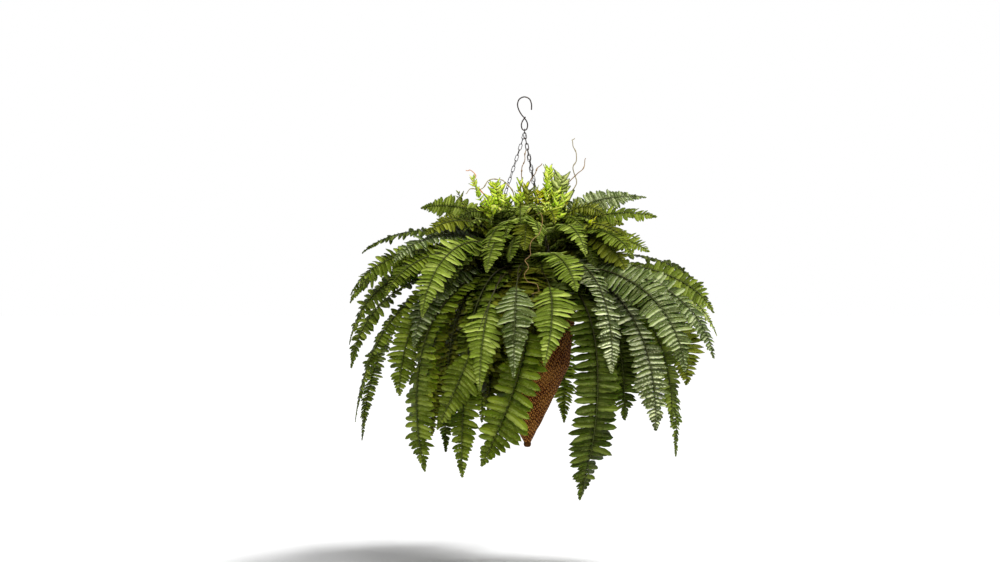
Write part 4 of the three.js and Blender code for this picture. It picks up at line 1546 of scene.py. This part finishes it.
LEAVES = {
    D: LeafFinish("dark", (18, 23, 2), (46, 59, 5), (84, 97, 16), sheen=0.08),
    M: LeafFinish("mid", (30, 38, 3), (76, 91, 10), (122, 136, 28), sheen=0.14),
    B: LeafFinish("bright", (42, 54, 6), (102, 120, 30), (156, 170, 74), sheen=0.22),
    # The grey and silver tones are dark greens; their silvery look is a painted sheen.
    G: LeafFinish("grey", (20, 28, 3), (54, 72, 17), (102, 120, 48), 0.32, 0.12, 0.35, 0.35, 0.4, SILVER_SHEEN),
    S: LeafFinish("silver", (18, 26, 4), (50, 66, 14), (106, 122, 50), 0.28, 0.12, 0.42, 0.35, 0.8, SILVER_SHEEN),
    O: LeafFinish("olive", (40, 44, 3), (86, 94, 12), (132, 138, 34), sheen=0.12),
    Y: LeafFinish("yellow", (50, 56, 5), (120, 132, 18), (178, 182, 56), 0.45, 0.25),
    P: LeafFinish("pale", (60, 74, 18), (130, 146, 58), (184, 194, 112), 0.4, 0.2, 0.25, sheen=0.45),
    H: LeafFinish("shaded", (36, 34, 4), (74, 78, 12), (112, 114, 28), sheen=0.03),
    YG: LeafFinish("young", (108, 136, 12), (180, 212, 42), (232, 244, 118), 0.5, 0.5, 0.2, 0.0),
    LM: LeafFinish("lime", (140, 146, 8), (212, 216, 28), (238, 240, 80), 0.5, 0.5, 0.2, 0.0),
}

BARKS = {
    "brown": BarkFinish("brown", (76, 54, 26), (134, 102, 54), (178, 148, 88)),
    "orange": BarkFinish("orange", (120, 68, 30), (190, 122, 60), (222, 168, 100)),
    "grey": BarkFinish("grey", (76, 68, 42), (142, 128, 84), (190, 176, 126)),
}


@dataclass
class Studio:
    """A pale floor, a white surround, soft lights and a level camera."""

    floor_height: float = -1.34
    half_floor: float = 30.0
    camera_place: tuple[float, float, float] = (-0.0674, -4.0, -0.505)
    lens: float = 52.308
    fill: float = 0.28
    key_power: float = 3.4
    key_angle: float = 0.25
    key_from: tuple[float, float, float] = (0.55, -0.25, 1.0)
    front_power: float = 40.0
    front_size: float = 1.1
    front_place: tuple[float, float, float] = (0.0, -1.75, 0.75)
    front_target: tuple[float, float, float] = (0.0, 0.0, -0.5)

    def build(self) -> None:
        """Build the floor, the surround, the lights and the camera."""
        self.floor()
        self.surround()
        key = self.lamp("key", "SUN", self.key_power, self.key_from, (0.0, 0.0, 0.0))
        key.angle = self.key_angle
        front = self.lamp("front_fill", "AREA", self.front_power, self.front_place, self.front_target)
        front.size = self.front_size
        camera = in_scene("camera", bpy.data.cameras.new("camera"))
        camera.location = self.camera_place
        camera.rotation_euler = (math.pi / 2, 0.0, 0.0)
        camera.data.lens = self.lens
        camera.data.clip_end = 100.0
        bpy.context.scene.camera = camera
        bpy.context.scene.view_settings.view_transform = "Standard"

    def surround(self) -> None:
        """Make the surround white to the camera and dimmer as a light."""
        world = bpy.data.worlds.new("white_surround")
        world.use_nodes = True
        tree = world.node_tree
        white = tree.nodes["Background"]
        white.inputs[0].default_value = (1.0, 1.0, 1.0, 1.0)
        seen = tree.nodes.new("ShaderNodeLightPath")
        strength = tree.nodes.new("ShaderNodeMapRange")
        strength.inputs["To Min"].default_value = self.fill
        strength.inputs["To Max"].default_value = 1.0
        tree.links.new(seen.outputs["Is Camera Ray"], strength.inputs["Value"])
        tree.links.new(strength.outputs[0], white.inputs[1])
        bpy.context.scene.world = world

    def floor(self) -> None:
        """Build the floor as a wide plane with a faint grain."""
        mesh = bpy.data.meshes.new("floor")
        far = self.half_floor
        corners = ((-far, -far), (far, -far), (far, far), (-far, far))
        mesh.from_pydata([(x, y, self.floor_height) for x, y in corners], [], [(0, 1, 2, 3)])
        graph = Graph("pale_floor")
        grain = graph.noise(3.0)
        colour = graph.ramp(grain, (0.3, 247, 247, 247), (0.7, 250.5, 250.5, 250.5))
        mesh.materials.append(graph.dress({"Base Color": colour, "Roughness": 0.9}, grain, 0.0))
        in_scene("floor", mesh)

    @staticmethod
    def lamp(name: str, kind: str, power: float, place: tuple, target: tuple) -> bpy.types.Light:
        """Add a soft light that faces a target.

        Args:
            name: What it is called.
            kind: Blender's name of its kind.
            power: Its strength.
            place: Where it stands.
            target: What it faces.

        Returns:
            The light's data.
        """
        data = bpy.data.lights.new(name, kind)
        data.energy = power
        lamp = in_scene(name, data)
        lamp.location = place
        x, y, z = np.array(place) - np.array(target)
        lamp.rotation_euler = (math.atan2(math.hypot(x, y), z), 0.0, math.atan2(x, -y))
        return data


def main() -> None:
    """Build every sub-assembly in order."""
    logging.basicConfig(level=logging.INFO, format="%(message)s")
    bronze = BronzeFinish().material()
    HangingHook().build(bronze)
    Chains().build(bronze)
    WovenBasket().build(RopeFinish().material())
    MossMound().build(MossFinish().material())
    finishes = {tone: finish.material() for tone, finish in LEAVES.items()}
    stalk = StalkFinish().material()
    for seed, row in enumerate(FROND_ROWS, start=100):
        Frond.of(*row).build(finishes, stalk, seed)
    barks = {name: finish.material() for name, finish in BARKS.items()}
    for seed, twig in enumerate(TWIGS, start=300):
        twig.build(barks, seed)
    Studio().build()
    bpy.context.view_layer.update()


if __name__ == "__main__":
    main()
